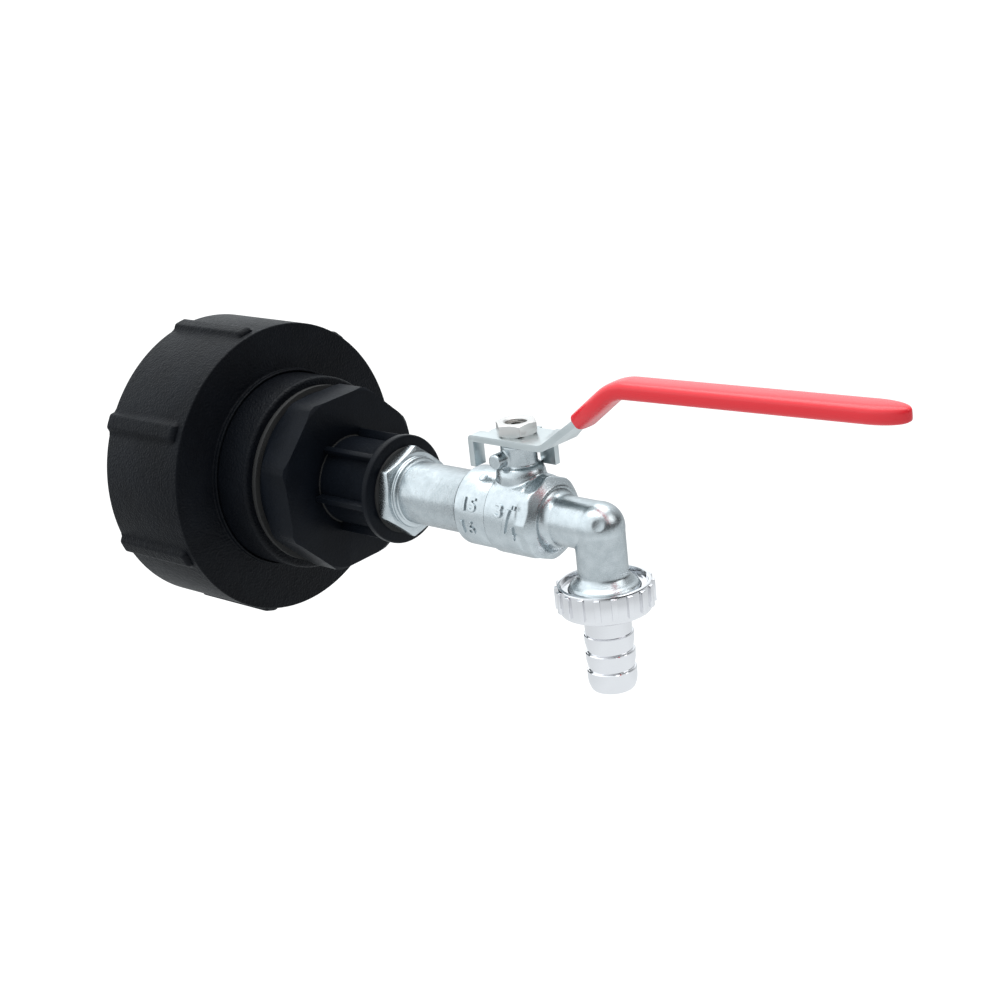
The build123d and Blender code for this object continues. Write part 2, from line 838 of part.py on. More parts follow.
def stem():
    """Stem: tongue in the ball, collar, grooved shaft, flats and a dimpled end."""
    half = ball_slot_width / 2 - tongue_play
    tongue_low = ball_radius - ball_slot_depth + tongue_play
    reach = sqrt(stem_collar_radius**2 - half**2)
    tongue = block((stem_place - half, -reach, tongue_low), (stem_place + half, reach, stem_collar_low))
    profile = [
        (0, stem_collar_low),
        (stem_collar_radius, stem_collar_low),
        (stem_collar_radius, stem_collar_high),
        (stem_radius, stem_collar_high),
    ]
    for low in (ring_first_height, ring_second_height):
        high = low + ring_groove_width
        profile += [(stem_radius, low), (ring_groove_radius, low)]
        profile += [(ring_groove_radius, high), (stem_radius, high)]
    profile += [
        (stem_radius, stem_end_height - stem_end_chamfer),
        (stem_radius - stem_end_chamfer, stem_end_height),
        (stem_socket_radius, stem_end_height),
        (stem_socket_radius, stem_end_height - stem_socket_depth),
        (0, stem_end_height - stem_socket_depth),
    ]
    solid = turned_z(profile, stem_place) + tongue
    side = stem_radius + overrun
    top = stem_end_height + overrun
    for near in (-side, stem_waist / 2):
        far = near + side - stem_waist / 2
        solid -= block((stem_place - side, near, plate_underside), (stem_place + side, far, top))
    return solid


def thrust_washer():
    """Slippery washer above the stem's collar."""
    return ring_z(thrust_low, thrust_high, stem_radius + bearing_play, stem_collar_radius, stem_place)


def stem_o_rings():
    """Two rubber rings in the stem's grooves."""
    section_radius = ring_section - bearing_play
    ring_radius = ring_groove_radius + ring_section
    rings = []
    for low in (ring_first_height, ring_second_height):
        middle = Pos(ring_radius, low + ring_groove_width / 2)
        ring = revolve(Plane.XZ * middle * Circle(section_radius), axis=Axis.Z)
        rings.append(Pos(stem_place, 0, 0) * ring)
    return Compound(children=rings)


def arm_points():
    """Corners of the lever's middle line, as (place, height) pairs."""
    foot = stem_place + arm_foot_distance
    top = foot + arm_rise_run
    tip = top + arm_top_run
    top_height = plate_middle + arm_rise_run * tan(radians(arm_foot_angle))
    tip_height = top_height + arm_top_run * tan(radians(arm_top_angle))
    return [
        (stem_place - near_leg_distance, plate_middle),
        (foot, plate_middle),
        (top, top_height),
        (tip, tip_height),
    ]


def swept_band(points, bend_radii, section):
    """Section drawn across the start of a bent line and carried along it."""
    path = Plane.XZ * FilletPolyline(*points, radius=bend_radii)
    start = path.edges().sort_by(Axis.X)[0]
    across = Plane(origin=start @ 0, x_dir=(0, 1, 0), z_dir=start % 0)
    return sweep(across * section, path=path)


def arm_band(thickness, extra):
    """Bent strip of the lever as wide as its plate; extra lengthens its tip."""
    points = arm_points()
    slope = radians(arm_top_angle)
    tip = points[-1]
    points[-1] = (tip[0] + extra * cos(slope), tip[1] + extra * sin(slope))
    section = Rectangle(2 * plate_half_width, thickness)
    return swept_band(points, [arm_foot_bend_radius, arm_top_bend_radius], section)


def lever_outline():
    """Outline of plate and arm from above, with the arm's rounded tip."""
    near = -plate_half_width
    bend = stem_place + arm_foot_distance
    narrow = bend + arm_taper_length
    end = bend + arm_rise_run + arm_top_run - arm_half_width
    arm = make_face(
        Polyline(
            (stem_place, near),
            (bend, near),
            (narrow, -arm_half_width),
            (end, -arm_half_width),
            (end, arm_half_width),
            (narrow, arm_half_width),
            (bend, plate_half_width),
            (stem_place, plate_half_width),
            close=True,
        )
    )
    hub = Pos(stem_place, 0) * Circle(plate_round_radius)
    hub = hub & Pos(stem_place, 0) * Rectangle(2 * plate_round_radius, 2 * plate_half_width)
    left = stem_place - near_leg_distance
    tab = make_face(
        Polyline(
            (left, near),
            (stem_place, near),
            (stem_place, near + near_leg_width),
            (left, near + near_leg_width),
            close=True,
        )
    )
    return arm + hub + tab + Pos(end, 0) * Circle(arm_half_width)


def near_leg():
    """Leg bent down at the tank's end of the plate, on the near side."""
    outer = stem_place - near_leg_distance - strip_thickness
    low = (outer, -plate_half_width, barrel_radius + near_leg_foot_gap)
    high = (outer + strip_thickness, near_leg_width - plate_half_width, plate_top)
    leg = block(low, high)
    top_edges = leg.edges().filter_by(Axis.Y).group_by(Axis.Z)[-1]
    return fillet(top_edges.sort_by(Axis.X)[0], leg_bend_round)


def far_leg():
    """Leg bent down at the far side of the plate."""
    start = stem_place + far_leg_start
    low = (start, far_leg_distance, barrel_radius + far_leg_foot_gap)
    high = (start + far_leg_width, far_leg_distance + strip_thickness, plate_top)
    leg = block(low, high)
    top_edges = leg.edges().filter_by(Axis.X).group_by(Axis.Z)[-1]
    return fillet(top_edges.sort_by(Axis.Y)[-1], leg_bend_round)


def lever():
    """Bent steel strip: plate on the stem, two legs and the arm inside the grip."""
    tall = plate_top + arm_rise_run + arm_top_run
    strip = arm_band(strip_thickness, 0) & extrude(lever_outline(), tall)
    start = stem_place + far_leg_start
    notch = block(
        (start, far_leg_distance, plate_underside - overrun),
        (start + far_leg_width, plate_half_width + overrun, plate_top + overrun),
    )
    low = plate_underside - overrun
    high = plate_top + overrun
    waist = stem_waist / 2 + bearing_play
    side = stem_radius + overrun
    band = block((stem_place - side, -waist, low), (stem_place + side, waist, high))
    hole = rod_z(low, high, stem_radius + bearing_play, stem_place) & band
    return (strip - notch) + near_leg() + far_leg() - hole


def grip():
    """Soft grip dipped over the arm, with a rounded tip."""
    points = arm_points()
    foot, top, tip = points[1:]
    share = grip_foot_setback / arm_rise_run
    slope = radians(arm_top_angle)
    reach = grip_end_wall + overrun
    start = (foot[0] + (top[0] - foot[0]) * share, foot[1] + (top[1] - foot[1]) * share)
    end = (tip[0] + reach * cos(slope), tip[1] + reach * sin(slope))
    blank = swept_band([start, top, end], [arm_top_bend_radius], Rectangle(grip_width, grip_thickness))
    tip_middle = tip[0] + grip_end_wall - grip_tip_length
    straight = Pos((foot[0] + tip_middle) / 2, 0) * Rectangle(tip_middle - foot[0], grip_width)
    outline = straight + Pos(tip_middle, 0) * Ellipse(grip_tip_length, grip_width / 2)
    tall = plate_top + arm_rise_run + arm_top_run
    solid = blank & extrude(outline, tall)
    long_edges = [edge for edge in solid.edges() if abs(edge.tangent_at().X) > abs(edge.tangent_at().Z)]
    solid = fillet(long_edges, grip_round)
    core_outline = offset(lever_outline(), grip_skin_play)
    core = arm_band(strip_thickness + 2 * grip_skin_play, grip_skin_play) & extrude(core_outline, tall)
    return solid - core


def stem_nut():
    """Thin six-sided nut with turned corners that holds the lever."""
    chamfer_radius = nut_corner_radius - nut_chamfer
    blank = turned_z(
        [
            (nut_bore_radius, plate_top),
            (nut_corner_radius, plate_top),
            (nut_corner_radius, nut_top - nut_chamfer),
            (chamfer_radius, nut_top),
            (nut_bore_radius + nut_chamfer, nut_top),
            (nut_bore_radius, nut_top - nut_chamfer),
        ],
        stem_place,
    )
    return blank & prism_z(hexagon_sides, nut_flats, plate_top, nut_top, nut_turn, stem_place)


def union_rib():
    """One upright grip rib of the union nut, on the +X side."""
    low = union_bottom + union_edge_round
    high = union_top - union_rib_setback
    half = union_rib_width / 2
    bar = block((union_radius - half, -half, low), (union_rib_radius, half, high))
    outer = bar.edges().filter_by(Axis.Y).group_by(Axis.X)[-1]
    return chamfer(outer, union_rib_chamfer)


def union_nut():
    """Ribbed union nut that holds the hose tail to the spout."""
    shell = turned_z(
        [
            (tail_neck_radius, union_bottom),
            (union_radius - union_edge_round, union_bottom),
            (union_radius, union_bottom + union_edge_round),
            (union_radius, union_top),
            (union_mouth_radius, union_top),
            (union_thread_radius, union_top - union_mouth_chamfer),
            (union_thread_radius, union_floor_top),
            (tail_neck_radius, union_floor_top),
        ],
        spout_place,
    )
    rib = union_rib()
    for index in range(union_rib_count):
        shell += Pos(spout_place, 0, 0) * Rot(0, 0, 360 * index / union_rib_count) * rib
    return shell


def tail_gasket():
    """Flat rubber ring between the spout's end and the hose tail."""
    return ring_z(tail_gasket_low, -spout_end_drop, tail_bore_radius, tail_flange_radius, spout_place)


def hose_tail():
    """Bored hose tail: flange, collar, teeth that hold the hose and a rounded end."""
    last = first_tooth - (tooth_count - 1) * tooth_pitch
    end = last - land_length - tail_nose_length
    profile = [
        (tail_bore_radius, tail_gasket_low),
        (tail_flange_radius, tail_gasket_low),
        (tail_flange_radius, tail_flange_low),
        (tail_collar_radius, tail_flange_low),
        (tail_collar_radius, first_tooth),
    ]
    for index in range(tooth_count - 1):
        top = first_tooth - index * tooth_pitch
        profile += [(tooth_radius, top), (tooth_root_radius, top - tooth_pitch)]
    profile += [
        (land_radius, last),
        (land_radius, last - land_length),
        (tooth_root_radius, end + tail_end_round),
        (tooth_root_radius - tail_end_round, end),
        (tail_bore_radius, end),
    ]
    return turned_z(profile, spout_place)


nodes = {
    "coupling_cap": coupling_cap,
    "tank_gasket": tank_gasket,
    "nozzle": nozzle,
    "adapter_seal": adapter_seal,
    "octagon_adapter": octagon_adapter,
    "bush_o_ring": bush_o_ring,
    "ribbed_bush": ribbed_bush,
    "inlet_seal": inlet_seal,
    "inlet_end": inlet_end,
    "body_seal": body_seal,
    "valve_body": valve_body,
    "ball": ball,
    "seat_inlet": seat_inlet,
    "seat_outlet": seat_outlet,
    "stem": stem,
    "thrust_washer": thrust_washer,
    "stem_o_rings": stem_o_rings,
    "lever": lever,
    "grip": grip,
    "stem_nut": stem_nut,
    "union_nut": union_nut,
    "tail_gasket": tail_gasket,
    "hose_tail": hose_tail,
}

os.makedirs("parts", exist_ok=True)
for name, make in nodes.items():
    export_step(make(), os.path.join("parts", name + ".step"))
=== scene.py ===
"""Studio scene of a tank outlet adapter: coupling cap, adapters, lever valve and hose tail."""

from __future__ import annotations

import json
import logging
import math
from contextlib import contextmanager
from dataclasses import dataclass
from enum import Enum
from typing import Callable, Iterator, Sequence

import bmesh
import bpy
from mathutils import Matrix, Vector


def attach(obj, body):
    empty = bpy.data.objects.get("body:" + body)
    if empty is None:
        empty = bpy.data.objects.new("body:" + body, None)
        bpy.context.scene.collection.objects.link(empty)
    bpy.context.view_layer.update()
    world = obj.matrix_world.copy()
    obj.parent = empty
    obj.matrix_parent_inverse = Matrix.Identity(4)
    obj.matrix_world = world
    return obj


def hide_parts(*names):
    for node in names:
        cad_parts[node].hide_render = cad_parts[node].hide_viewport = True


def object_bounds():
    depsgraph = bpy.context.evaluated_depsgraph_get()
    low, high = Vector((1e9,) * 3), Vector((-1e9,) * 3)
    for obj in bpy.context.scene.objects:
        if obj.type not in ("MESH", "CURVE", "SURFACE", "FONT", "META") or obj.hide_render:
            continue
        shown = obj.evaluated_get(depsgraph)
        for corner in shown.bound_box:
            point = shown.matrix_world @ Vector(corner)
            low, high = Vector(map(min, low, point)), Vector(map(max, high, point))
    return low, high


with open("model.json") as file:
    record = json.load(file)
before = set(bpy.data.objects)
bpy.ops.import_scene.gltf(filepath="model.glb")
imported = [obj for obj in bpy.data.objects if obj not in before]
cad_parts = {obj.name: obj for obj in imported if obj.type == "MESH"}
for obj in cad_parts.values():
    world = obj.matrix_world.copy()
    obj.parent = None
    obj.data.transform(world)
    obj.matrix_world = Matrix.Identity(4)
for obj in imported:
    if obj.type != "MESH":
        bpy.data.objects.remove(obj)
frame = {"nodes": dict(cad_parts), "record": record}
CAD_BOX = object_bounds()

LOG = logging.getLogger("tank_valve")
FULL_TURN = 2.0 * math.pi
MM = 0.001

# Places along the valve and room around cuts, in millimetres
STEM_PLACE = 174.5
SPOUT_PLACE = 209.8
CUT_MARGIN = 1.0
PICK_SLACK = 0.01

# Fineness of the meshes: points nearer than a weld, in metres, become one
SPIN_STEPS = 128
THREAD_STEPS = 96
WELD = 1e-6
LINE_WELD = 1e-7
SMOOTHING = 0.5

# Raised figures: letter values as shares of their height, the rest in millimetres
LETTER_SIZE = 1.38
LETTER_WEIGHT = 0.035
LETTER_SPACING = 1.12
LETTER_DEPTH = 2.0
FIGURE_ROOT = 1.0
FIGURE_MARGIN = 2.0
FIGURE_GRAIN = 0.12
FIGURE_PASSES = 4

# Where noise turns from a finish's dark colour to its light one
TINT_SPAN = (0.3, 0.7)

# Sockets of a Mix node that carry colour
MIX_FIRST = 6
MIX_SECOND = 7
MIX_RESULT = 2

Pair = tuple[float, float]
Triple = tuple[float, float, float]
Colour = Triple
Profile = Sequence[Pair]
Station = tuple[float, float, float, float, float]


class TurnAxis(Enum):
    """Axis that a piece is turned about."""

    VALVE = "X"
    STEM = "Z"


# Bench: modelling by operators


def rest() -> None:
    """Leaves edit mode and deselects everything."""
    if bpy.context.object is not None and bpy.context.object.mode != "OBJECT":
        bpy.ops.object.mode_set(mode="OBJECT")
    bpy.ops.object.select_all(action="DESELECT")


def take(piece: bpy.types.Object) -> None:
    """Selects one piece alone and makes it active.

    Args:
        piece: The piece to work on.
    """
    rest()
    piece.select_set(True)
    bpy.context.view_layer.objects.active = piece


@contextmanager
def editing(piece: bpy.types.Object) -> Iterator[None]:
    """Opens a piece in edit mode, with all of it selected, and closes it again.

    Args:
        piece: The piece to shape.

    Yields:
        Nothing; the piece is in edit mode meanwhile.
    """
    take(piece)
    bpy.ops.object.mode_set(mode="EDIT")
    bpy.ops.mesh.select_mode(type="VERT")
    bpy.ops.mesh.select_all(action="SELECT")
    try:
        yield
    finally:
        bpy.ops.object.mode_set(mode="OBJECT")


def turning(angle: float, axis: str) -> Matrix:
    """Gives the turn about an axis through the origin, for an angle in degrees."""
    return Matrix.Rotation(math.radians(angle), 4, axis)


def face_outwards() -> None:
    """Turns all the faces of the piece in edit mode outwards."""
    bpy.ops.mesh.select_all(action="SELECT")
    bpy.ops.mesh.normals_make_consistent(inside=False)


def named(name: str) -> bpy.types.Object:
    """Names the piece that an operator has just added.

    Args:
        name: The new piece's name.

    Returns:
        The piece.
    """
    piece = bpy.context.object
    piece.name = name
    piece.data.name = name
    return piece


def settle(piece: bpy.types.Object) -> None:
    """Moves a piece's place, turn and scale into its mesh.

    Args:
        piece: The piece to settle.
    """
    take(piece)
    bpy.ops.object.transform_apply(location=True, rotation=True, scale=True)


def finish_modifier(piece: bpy.types.Object, kind: str, **settings: object) -> None:
    """Adds a modifier with the given settings and applies it.

    Args:
        piece: The piece that gets the modifier.
        kind: The modifier's type, such as BEVEL.
        settings: The modifier's values by name.
    """
    take(piece)
    bpy.ops.object.modifier_add(type=kind)
    modifier = piece.modifiers[-1]
    for key, value in settings.items():
        setattr(modifier, key, value)
    bpy.ops.object.modifier_apply(modifier=modifier.name)


def round_edges(piece: bpy.types.Object, width: float, segments: int = 3, angle: float = 30.0) -> None:
    """Rounds every edge that is sharper than an angle.

    Args:
        piece: The piece to round.
        width: Width of the rounding, in millimetres.
        segments: Steps across the rounding.
        angle: Least angle between the faces, in degrees.
    """
    finish_modifier(
        piece,
        "BEVEL",
        width=width * MM,
        segments=segments,
        limit_method="ANGLE",
        angle_limit=math.radians(angle),
        harden_normals=False,
        use_clamp_overlap=True,
    )


def regrain(piece: bpy.types.Object, grain: float, passes: int = 0) -> None:
    """Makes one even skin of a piece, and softens it.

    Args:
        piece: The piece, whose parts may overlap.
        grain: Size of the new skin's cells, in millimetres.
        passes: Number of smoothing passes.
    """
    finish_modifier(piece, "REMESH", mode="VOXEL", voxel_size=grain * MM, use_smooth_shade=True)
    if passes:
        finish_modifier(piece, "SMOOTH", factor=SMOOTHING, iterations=passes)


def clean(piece: bpy.types.Object) -> None:
    """Merges doubled points and turns the faces outwards.

    Args:
        piece: The piece to clean.
    """
    with editing(piece):
        bpy.ops.mesh.remove_doubles(threshold=WELD)
        face_outwards()


def smooth(piece: bpy.types.Object, angle: float) -> None:
    """Shades a piece smooth up to an angle.

    Args:
        piece: The piece to shade.
        angle: Angle past which an edge stays sharp, in degrees.
    """
    take(piece)
    bpy.ops.object.shade_smooth_by_angle(angle=math.radians(angle))


def combine(name: str, parts: Sequence[bpy.types.Object]) -> bpy.types.Object:
    """Joins several meshes into one piece.

    Args:
        name: Name of the joined piece.
        parts: The meshes, of which the first takes in the others.

    Returns:
        The joined piece.
    """
    rest()
    for part in parts:
        part.select_set(True)
    bpy.context.view_layer.objects.active = parts[0]
    bpy.ops.object.join()
    return named(name)


def carve(piece: bpy.types.Object, tool: bpy.types.Object, operation: str) -> None:
    """Cuts, welds or trims a piece with another mesh, which is used up.

    Args:
        piece: The piece that stays.
        tool: The mesh that shapes it.
        operation: DIFFERENCE, UNION or INTERSECT.
    """
    finish_modifier(piece, "BOOLEAN", object=tool, operation=operation, solver="EXACT")
    bpy.data.objects.remove(tool)


def trim(
    plate: bpy.types.Object, blank: bpy.types.Object, edge: float, segments: int, angle: float
) -> None:
    """Trims a prism to a turned blank, as a lathe chamfers a hexagon, and rounds its edges.

    Args:
        plate: The prism.
        blank: The turned blank, which is used up.
        edge: Width of the rounding, in millimetres.
        segments: Steps across the rounding.
        angle: Least angle of an edge that is rounded, in degrees.
    """
    carve(plate, blank, "INTERSECT")
    clean(plate)
    round_edges(plate, edge, segments, angle)


def turned(
    name: str,
    profile: Profile,
    axis: TurnAxis = TurnAxis.VALVE,
    place: float = 0.0,
    steps: int = SPIN_STEPS,
) -> bpy.types.Object:
    """Models a turned piece: its section is drawn point by point and spun.

    Args:
        name: Name of the piece.
        profile: Closed section as (along, radius) pairs, in millimetres.
        axis: The valve's axis, or an upright axis.
        place: Where an upright axis stands along the valve, in millimetres.
        steps: Facets round the piece.

    Returns:
        The turned piece.
    """
    if axis is TurnAxis.VALVE:
        points = [Vector((along, 0.0, radius)) * MM for along, radius in profile]
        direction, centre = (1.0, 0.0, 0.0), (0.0, 0.0, 0.0)
    else:
        points = [Vector((place + radius, 0.0, along)) * MM for along, radius in profile]
        direction, centre = (0.0, 0.0, 1.0), (place * MM, 0.0, 0.0)
    piece = drawn(name, points)
    with editing(piece):
        bpy.ops.mesh.spin(steps=steps, angle=FULL_TURN, center=centre, axis=direction)
    clean(piece)
    return piece


def prism(
    name: str,
    sides: int,
    flats: float,
    low: float,
    high: float,
    turn: float,
    axis: TurnAxis = TurnAxis.VALVE,
    place: float = 0.0,
) -> bpy.types.Object:
    """Adds a prism with a corner at an angle from the top, or from +X on an upright axis.

    Args:
        name: Name of the piece.
        sides: Number of sides.
        flats: Distance across two opposite sides, in millimetres.
        low: Start along the axis, in millimetres.
        high: End along the axis, in millimetres.
        turn: Angle of one corner, in degrees, towards the near side.
        axis: The valve's axis, or an upright axis.
        place: Where an upright axis stands along the valve, in millimetres.

    Returns:
        The prism.
    """
    corner = flats / 2.0 / math.cos(math.pi / sides)
    middle = (low + high) / 2.0
    rest()
    bpy.ops.mesh.primitive_cylinder_add(vertices=sides, radius=corner * MM, depth=(high - low) * MM)
    piece = named(name)
    settle(piece)
    if axis is TurnAxis.VALVE:
        upright = turning(turn, "X") @ turning(90.0, "Y")
        corner_up = turning(90.0, "Z")
        piece.matrix_world = Matrix.Translation((middle * MM, 0.0, 0.0)) @ upright @ corner_up
    else:
        corner_ahead = turning(turn - 90.0, "Z")
        piece.matrix_world = Matrix.Translation((place * MM, 0.0, middle * MM)) @ corner_ahead
    settle(piece)
    return piece


def peg(
    name: str, radius: float, length: float, place: Matrix, edge: float, facets: int, segments: int
) -> bpy.types.Object:
    """Adds a round peg with softened rims.

    Args:
        name: Name of the piece.
        radius: Its radius, in millimetres.
        length: Its length, in millimetres.
        place: Where its middle goes and how it is turned.
        edge: Width of the rounding at its rims, in millimetres.
        facets: Facets round the peg.
        segments: Steps across the rounding.

    Returns:
        The peg.
    """
    rest()
    bpy.ops.mesh.primitive_cylinder_add(vertices=facets, radius=radius * MM, depth=length * MM)
    piece = named(name)
    piece.matrix_world = place
    settle(piece)
    round_edges(piece, edge, segments, angle=50.0)
    return piece


def ball(name: str, radius: float, place: Vector, facets: int) -> bpy.types.Object:
    """Adds a ball.

    Args:
        name: Name of the piece.
        radius: Its radius, in millimetres.
        place: Its middle, in millimetres.
        facets: Facets round the ball, twice as many as from pole to pole.

    Returns:
        The ball.
    """
    rest()
    bpy.ops.mesh.primitive_uv_sphere_add(
        segments=facets, ring_count=facets // 2, radius=radius * MM, location=place * MM
    )
    piece = named(name)
    settle(piece)
    return piece


def ring_of_copies(
    pattern: bpy.types.Object,
    count: int,
    start: float,
    axis: TurnAxis = TurnAxis.VALVE,
    place: float = 0.0,
) -> list[bpy.types.Object]:
    """Copies a piece round an axis, each copy with its own mesh.

    Args:
        pattern: The piece, modelled on top of the valve's axis or on the +X side of an upright one.
        count: Number of pieces in the ring, the pattern among them.
        start: Angle of the first piece, in degrees.
        axis: The valve's axis, or an upright axis.
        place: Where an upright axis stands along the valve, in millimetres.

    Returns:
        All the pieces of the ring.
    """
    centre = Matrix.Translation((place * MM, 0.0, 0.0))
    ring = []
    for index in range(count):
        take(pattern)
        bpy.ops.object.duplicate(linked=False)
        copy = bpy.context.object
        turn = turning(start + 360.0 * index / count, axis.value)
        copy.matrix_world = centre @ turn @ centre.inverted()
        settle(copy)
        ring.append(copy)
    bpy.data.objects.remove(pattern)
    return ring


def box_between(name: str, low: Sequence[float], high: Sequence[float]) -> bpy.types.Object:
    """Adds a box between two corners, as a blank for more shaping.

    Args:
        name: Name of the piece.
        low: Lowest corner, in millimetres.
        high: Highest corner, in millimetres.

    Returns:
        The box.
    """
    corner, far = Vector(low) * MM, Vector(high) * MM
    rest()
    bpy.ops.mesh.primitive_cube_add(size=1.0, location=(corner + far) / 2.0)
    piece = named(name)
    piece.scale = far - corner
    settle(piece)
    return piece


def pick(piece: bpy.types.Object, test: Callable[[Vector], bool]) -> None:
    """Selects the faces of the piece in edit mode whose middle passes a test.

    Args:
        piece: The piece in edit mode.
        test: Takes the middle of a face, in metres, and says whether it is wanted.
    """
    bpy.ops.mesh.select_mode(type="FACE")
    bpy.ops.mesh.select_all(action="DESELECT")
    mesh = bmesh.from_edit_mesh(piece.data)
    for face in mesh.faces:
        if test(face.calc_center_median()):
            face.select_set(True)
    mesh.select_flush_mode()
    bmesh.update_edit_mesh(piece.data)


def arc(
    along: float, up: float, radius: float, start: float, end: float, steps: int
) -> list[Pair]:
    """Gives points on an arc of a section, from one angle to another.

    Args:
        along: Its centre along the axis.
        up: Its centre's distance from the axis.
        radius: Its radius.
        start: First angle in degrees, 0 along the axis and 90 away from it.
        end: Last angle in degrees.
        steps: Number of points.

    Returns:
        The points as (along, radius) pairs.
    """
    points = []
    for index in range(steps):
        turn = math.radians(start + (end - start) * index / (steps - 1))
        points.append((along + radius * math.cos(turn), up + radius * math.sin(turn)))
    return points


def drawn(name: str, points: Sequence[Vector]) -> bpy.types.Object:
    """Draws a closed line of points by extruding one point along it.

    Args:
        name: Name of the piece.
        points: The points, in metres.

    Returns:
        The piece, still a line.
    """
    rest()
    bpy.ops.mesh.primitive_plane_add(size=MM, location=points[0])
    piece = named(name)
    settle(piece)
    with editing(piece):
        bpy.ops.mesh.merge(type="CENTER")
        for here, there in zip(points, [*points[1:], points[0]]):
            bpy.ops.mesh.extrude_region_move(TRANSFORM_OT_translate={"value": there - here})
        bpy.ops.mesh.select_all(action="SELECT")
        bpy.ops.mesh.remove_doubles(threshold=LINE_WELD)
    return piece


def swept(name: str, outline: Profile, stations: Sequence[Station]) -> bpy.types.Object:
    """Models a bar along a line in the valve's upright middle plane, from station to station.

    Args:
        name: Name of the piece.
        outline: Closed outline across the line as (side, up) pairs, in millimetres.
        stations: (along, height, slope in degrees, side scale, up scale) of each section.

    Returns:
        The bar.
    """
    along, height, slope, wide, tall = stations[0]
    line = [Vector((along, side * wide, height + up * tall)) * MM for side, up in outline]
    piece = drawn(name, line)
    with editing(piece):
        bpy.ops.mesh.edge_face_add()
        tilt(slope, Vector((along, 0.0, height)) * MM)
        for before, after in zip(stations, stations[1:]):
            spot = Vector((after[0], 0.0, after[1])) * MM
            step = Vector((after[0] - before[0], 0.0, after[1] - before[1])) * MM
            bpy.ops.mesh.extrude_region_move(TRANSFORM_OT_translate={"value": step})
            tilt(-before[2], spot)
            scale = (1.0, after[3] / before[3], after[4] / before[4])
            bpy.ops.transform.resize(value=scale, center_override=spot)
            tilt(after[2], spot)
        face_outwards()
    return piece


def tilt(slope: float, spot: Vector) -> None:
    """Tilts what is selected upwards about a point, so that +X turns towards +Z.

    Args:
        slope: Angle in degrees.
        spot: The point, in metres.
    """
    if slope:
        bpy.ops.transform.rotate(value=math.radians(slope), orient_axis="Y", center_override=spot)


def wound(name: str, section: Profile, pitch: float, turns: int) -> bpy.types.Object:
    """Winds a closed section about the valve's axis as a screw thread.

    Args:
        name: Name of the piece.
        section: Closed section as (along, radius) pairs, in millimetres.
        pitch: Advance along the axis for each turn, in millimetres.
        turns: Number of turns.

    Returns:
        The thread, closed at its ends.
    """
    piece = drawn(name, [Vector((along, 0.0, radius)) * MM for along, radius in section])
    finish_modifier(
        piece,
        "SCREW",
        axis="X",
        angle=FULL_TURN,
        screw_offset=pitch * MM,
        iterations=turns,
        steps=THREAD_STEPS,
        render_steps=THREAD_STEPS,
        use_merge_vertices=False,
    )
    with editing(piece):
        bpy.ops.mesh.fill_holes(sides=0)
        face_outwards()
    return piece


def raised_figure(
    text: str, size: float, along: float, turn: float, radius: float, rise: float
) -> bpy.types.Object:
    """Raises a plain figure on a round barrel about the valve's axis.

    Args:
        text: The figure.
        size: Its height, in millimetres.
        along: Its middle along the valve, in millimetres.
        turn: Its angle from the top towards the near side, in degrees.
        radius: The barrel's radius, in millimetres.
        rise: Height of the figure over the barrel, in millimetres.

    Returns:
        The figure as a closed mesh that starts under the barrel's skin.
    """
    rest()
    bpy.ops.object.text_add()
    letters = bpy.context.object
    letters.data.body = text
    letters.data.size = size * LETTER_SIZE * MM
    letters.data.space_character = LETTER_SPACING
    letters.data.align_x = "CENTER"
    letters.data.align_y = "CENTER"
    letters.data.extrude = LETTER_DEPTH * MM
    letters.data.offset = LETTER_WEIGHT * size * MM
    bpy.ops.object.convert(target="MESH")
    figure = named("figure")
    place = turning(turn - 90.0, "X") @ Matrix.Translation((along * MM, -radius * MM, 0.0))
    figure.matrix_world = place @ turning(90.0, "X")
    settle(figure)
    clean(figure)
    regrain(figure, FIGURE_GRAIN)
    span = size * len(text) + FIGURE_MARGIN
    ring = [
        (along - span, radius - FIGURE_ROOT),
        (along - span, radius + rise),
        (along + span, radius + rise),
        (along + span, radius - FIGURE_ROOT),
    ]
    carve(figure, turned("figure_ring", ring), "INTERSECT")
    regrain(figure, FIGURE_GRAIN, FIGURE_PASSES)
    return figure


def reworked(name: str, node: str, flat_angle: float, edge: float) -> bpy.types.Object:
    """Copies a solid, joins its loose facets into flat faces and rounds its edges.

    Args:
        name: Name of the piece.
        node: The solid to copy.
        flat_angle: Angle under which neighbouring facets are one face, in degrees.
        edge: Width of the rounding, in millimetres.

    Returns:
        The reworked copy.
    """
    take(frame["nodes"][node])
    bpy.ops.object.duplicate(linked=False)
    piece = named(name)
    for key in list(piece.keys()):
        del piece[key]
    piece.parent = None
    clean(piece)
    with editing(piece):
        bpy.ops.mesh.dissolve_limited(angle_limit=math.radians(flat_angle))
    round_edges(piece, edge, angle=25.0)
    return piece


# Finishes


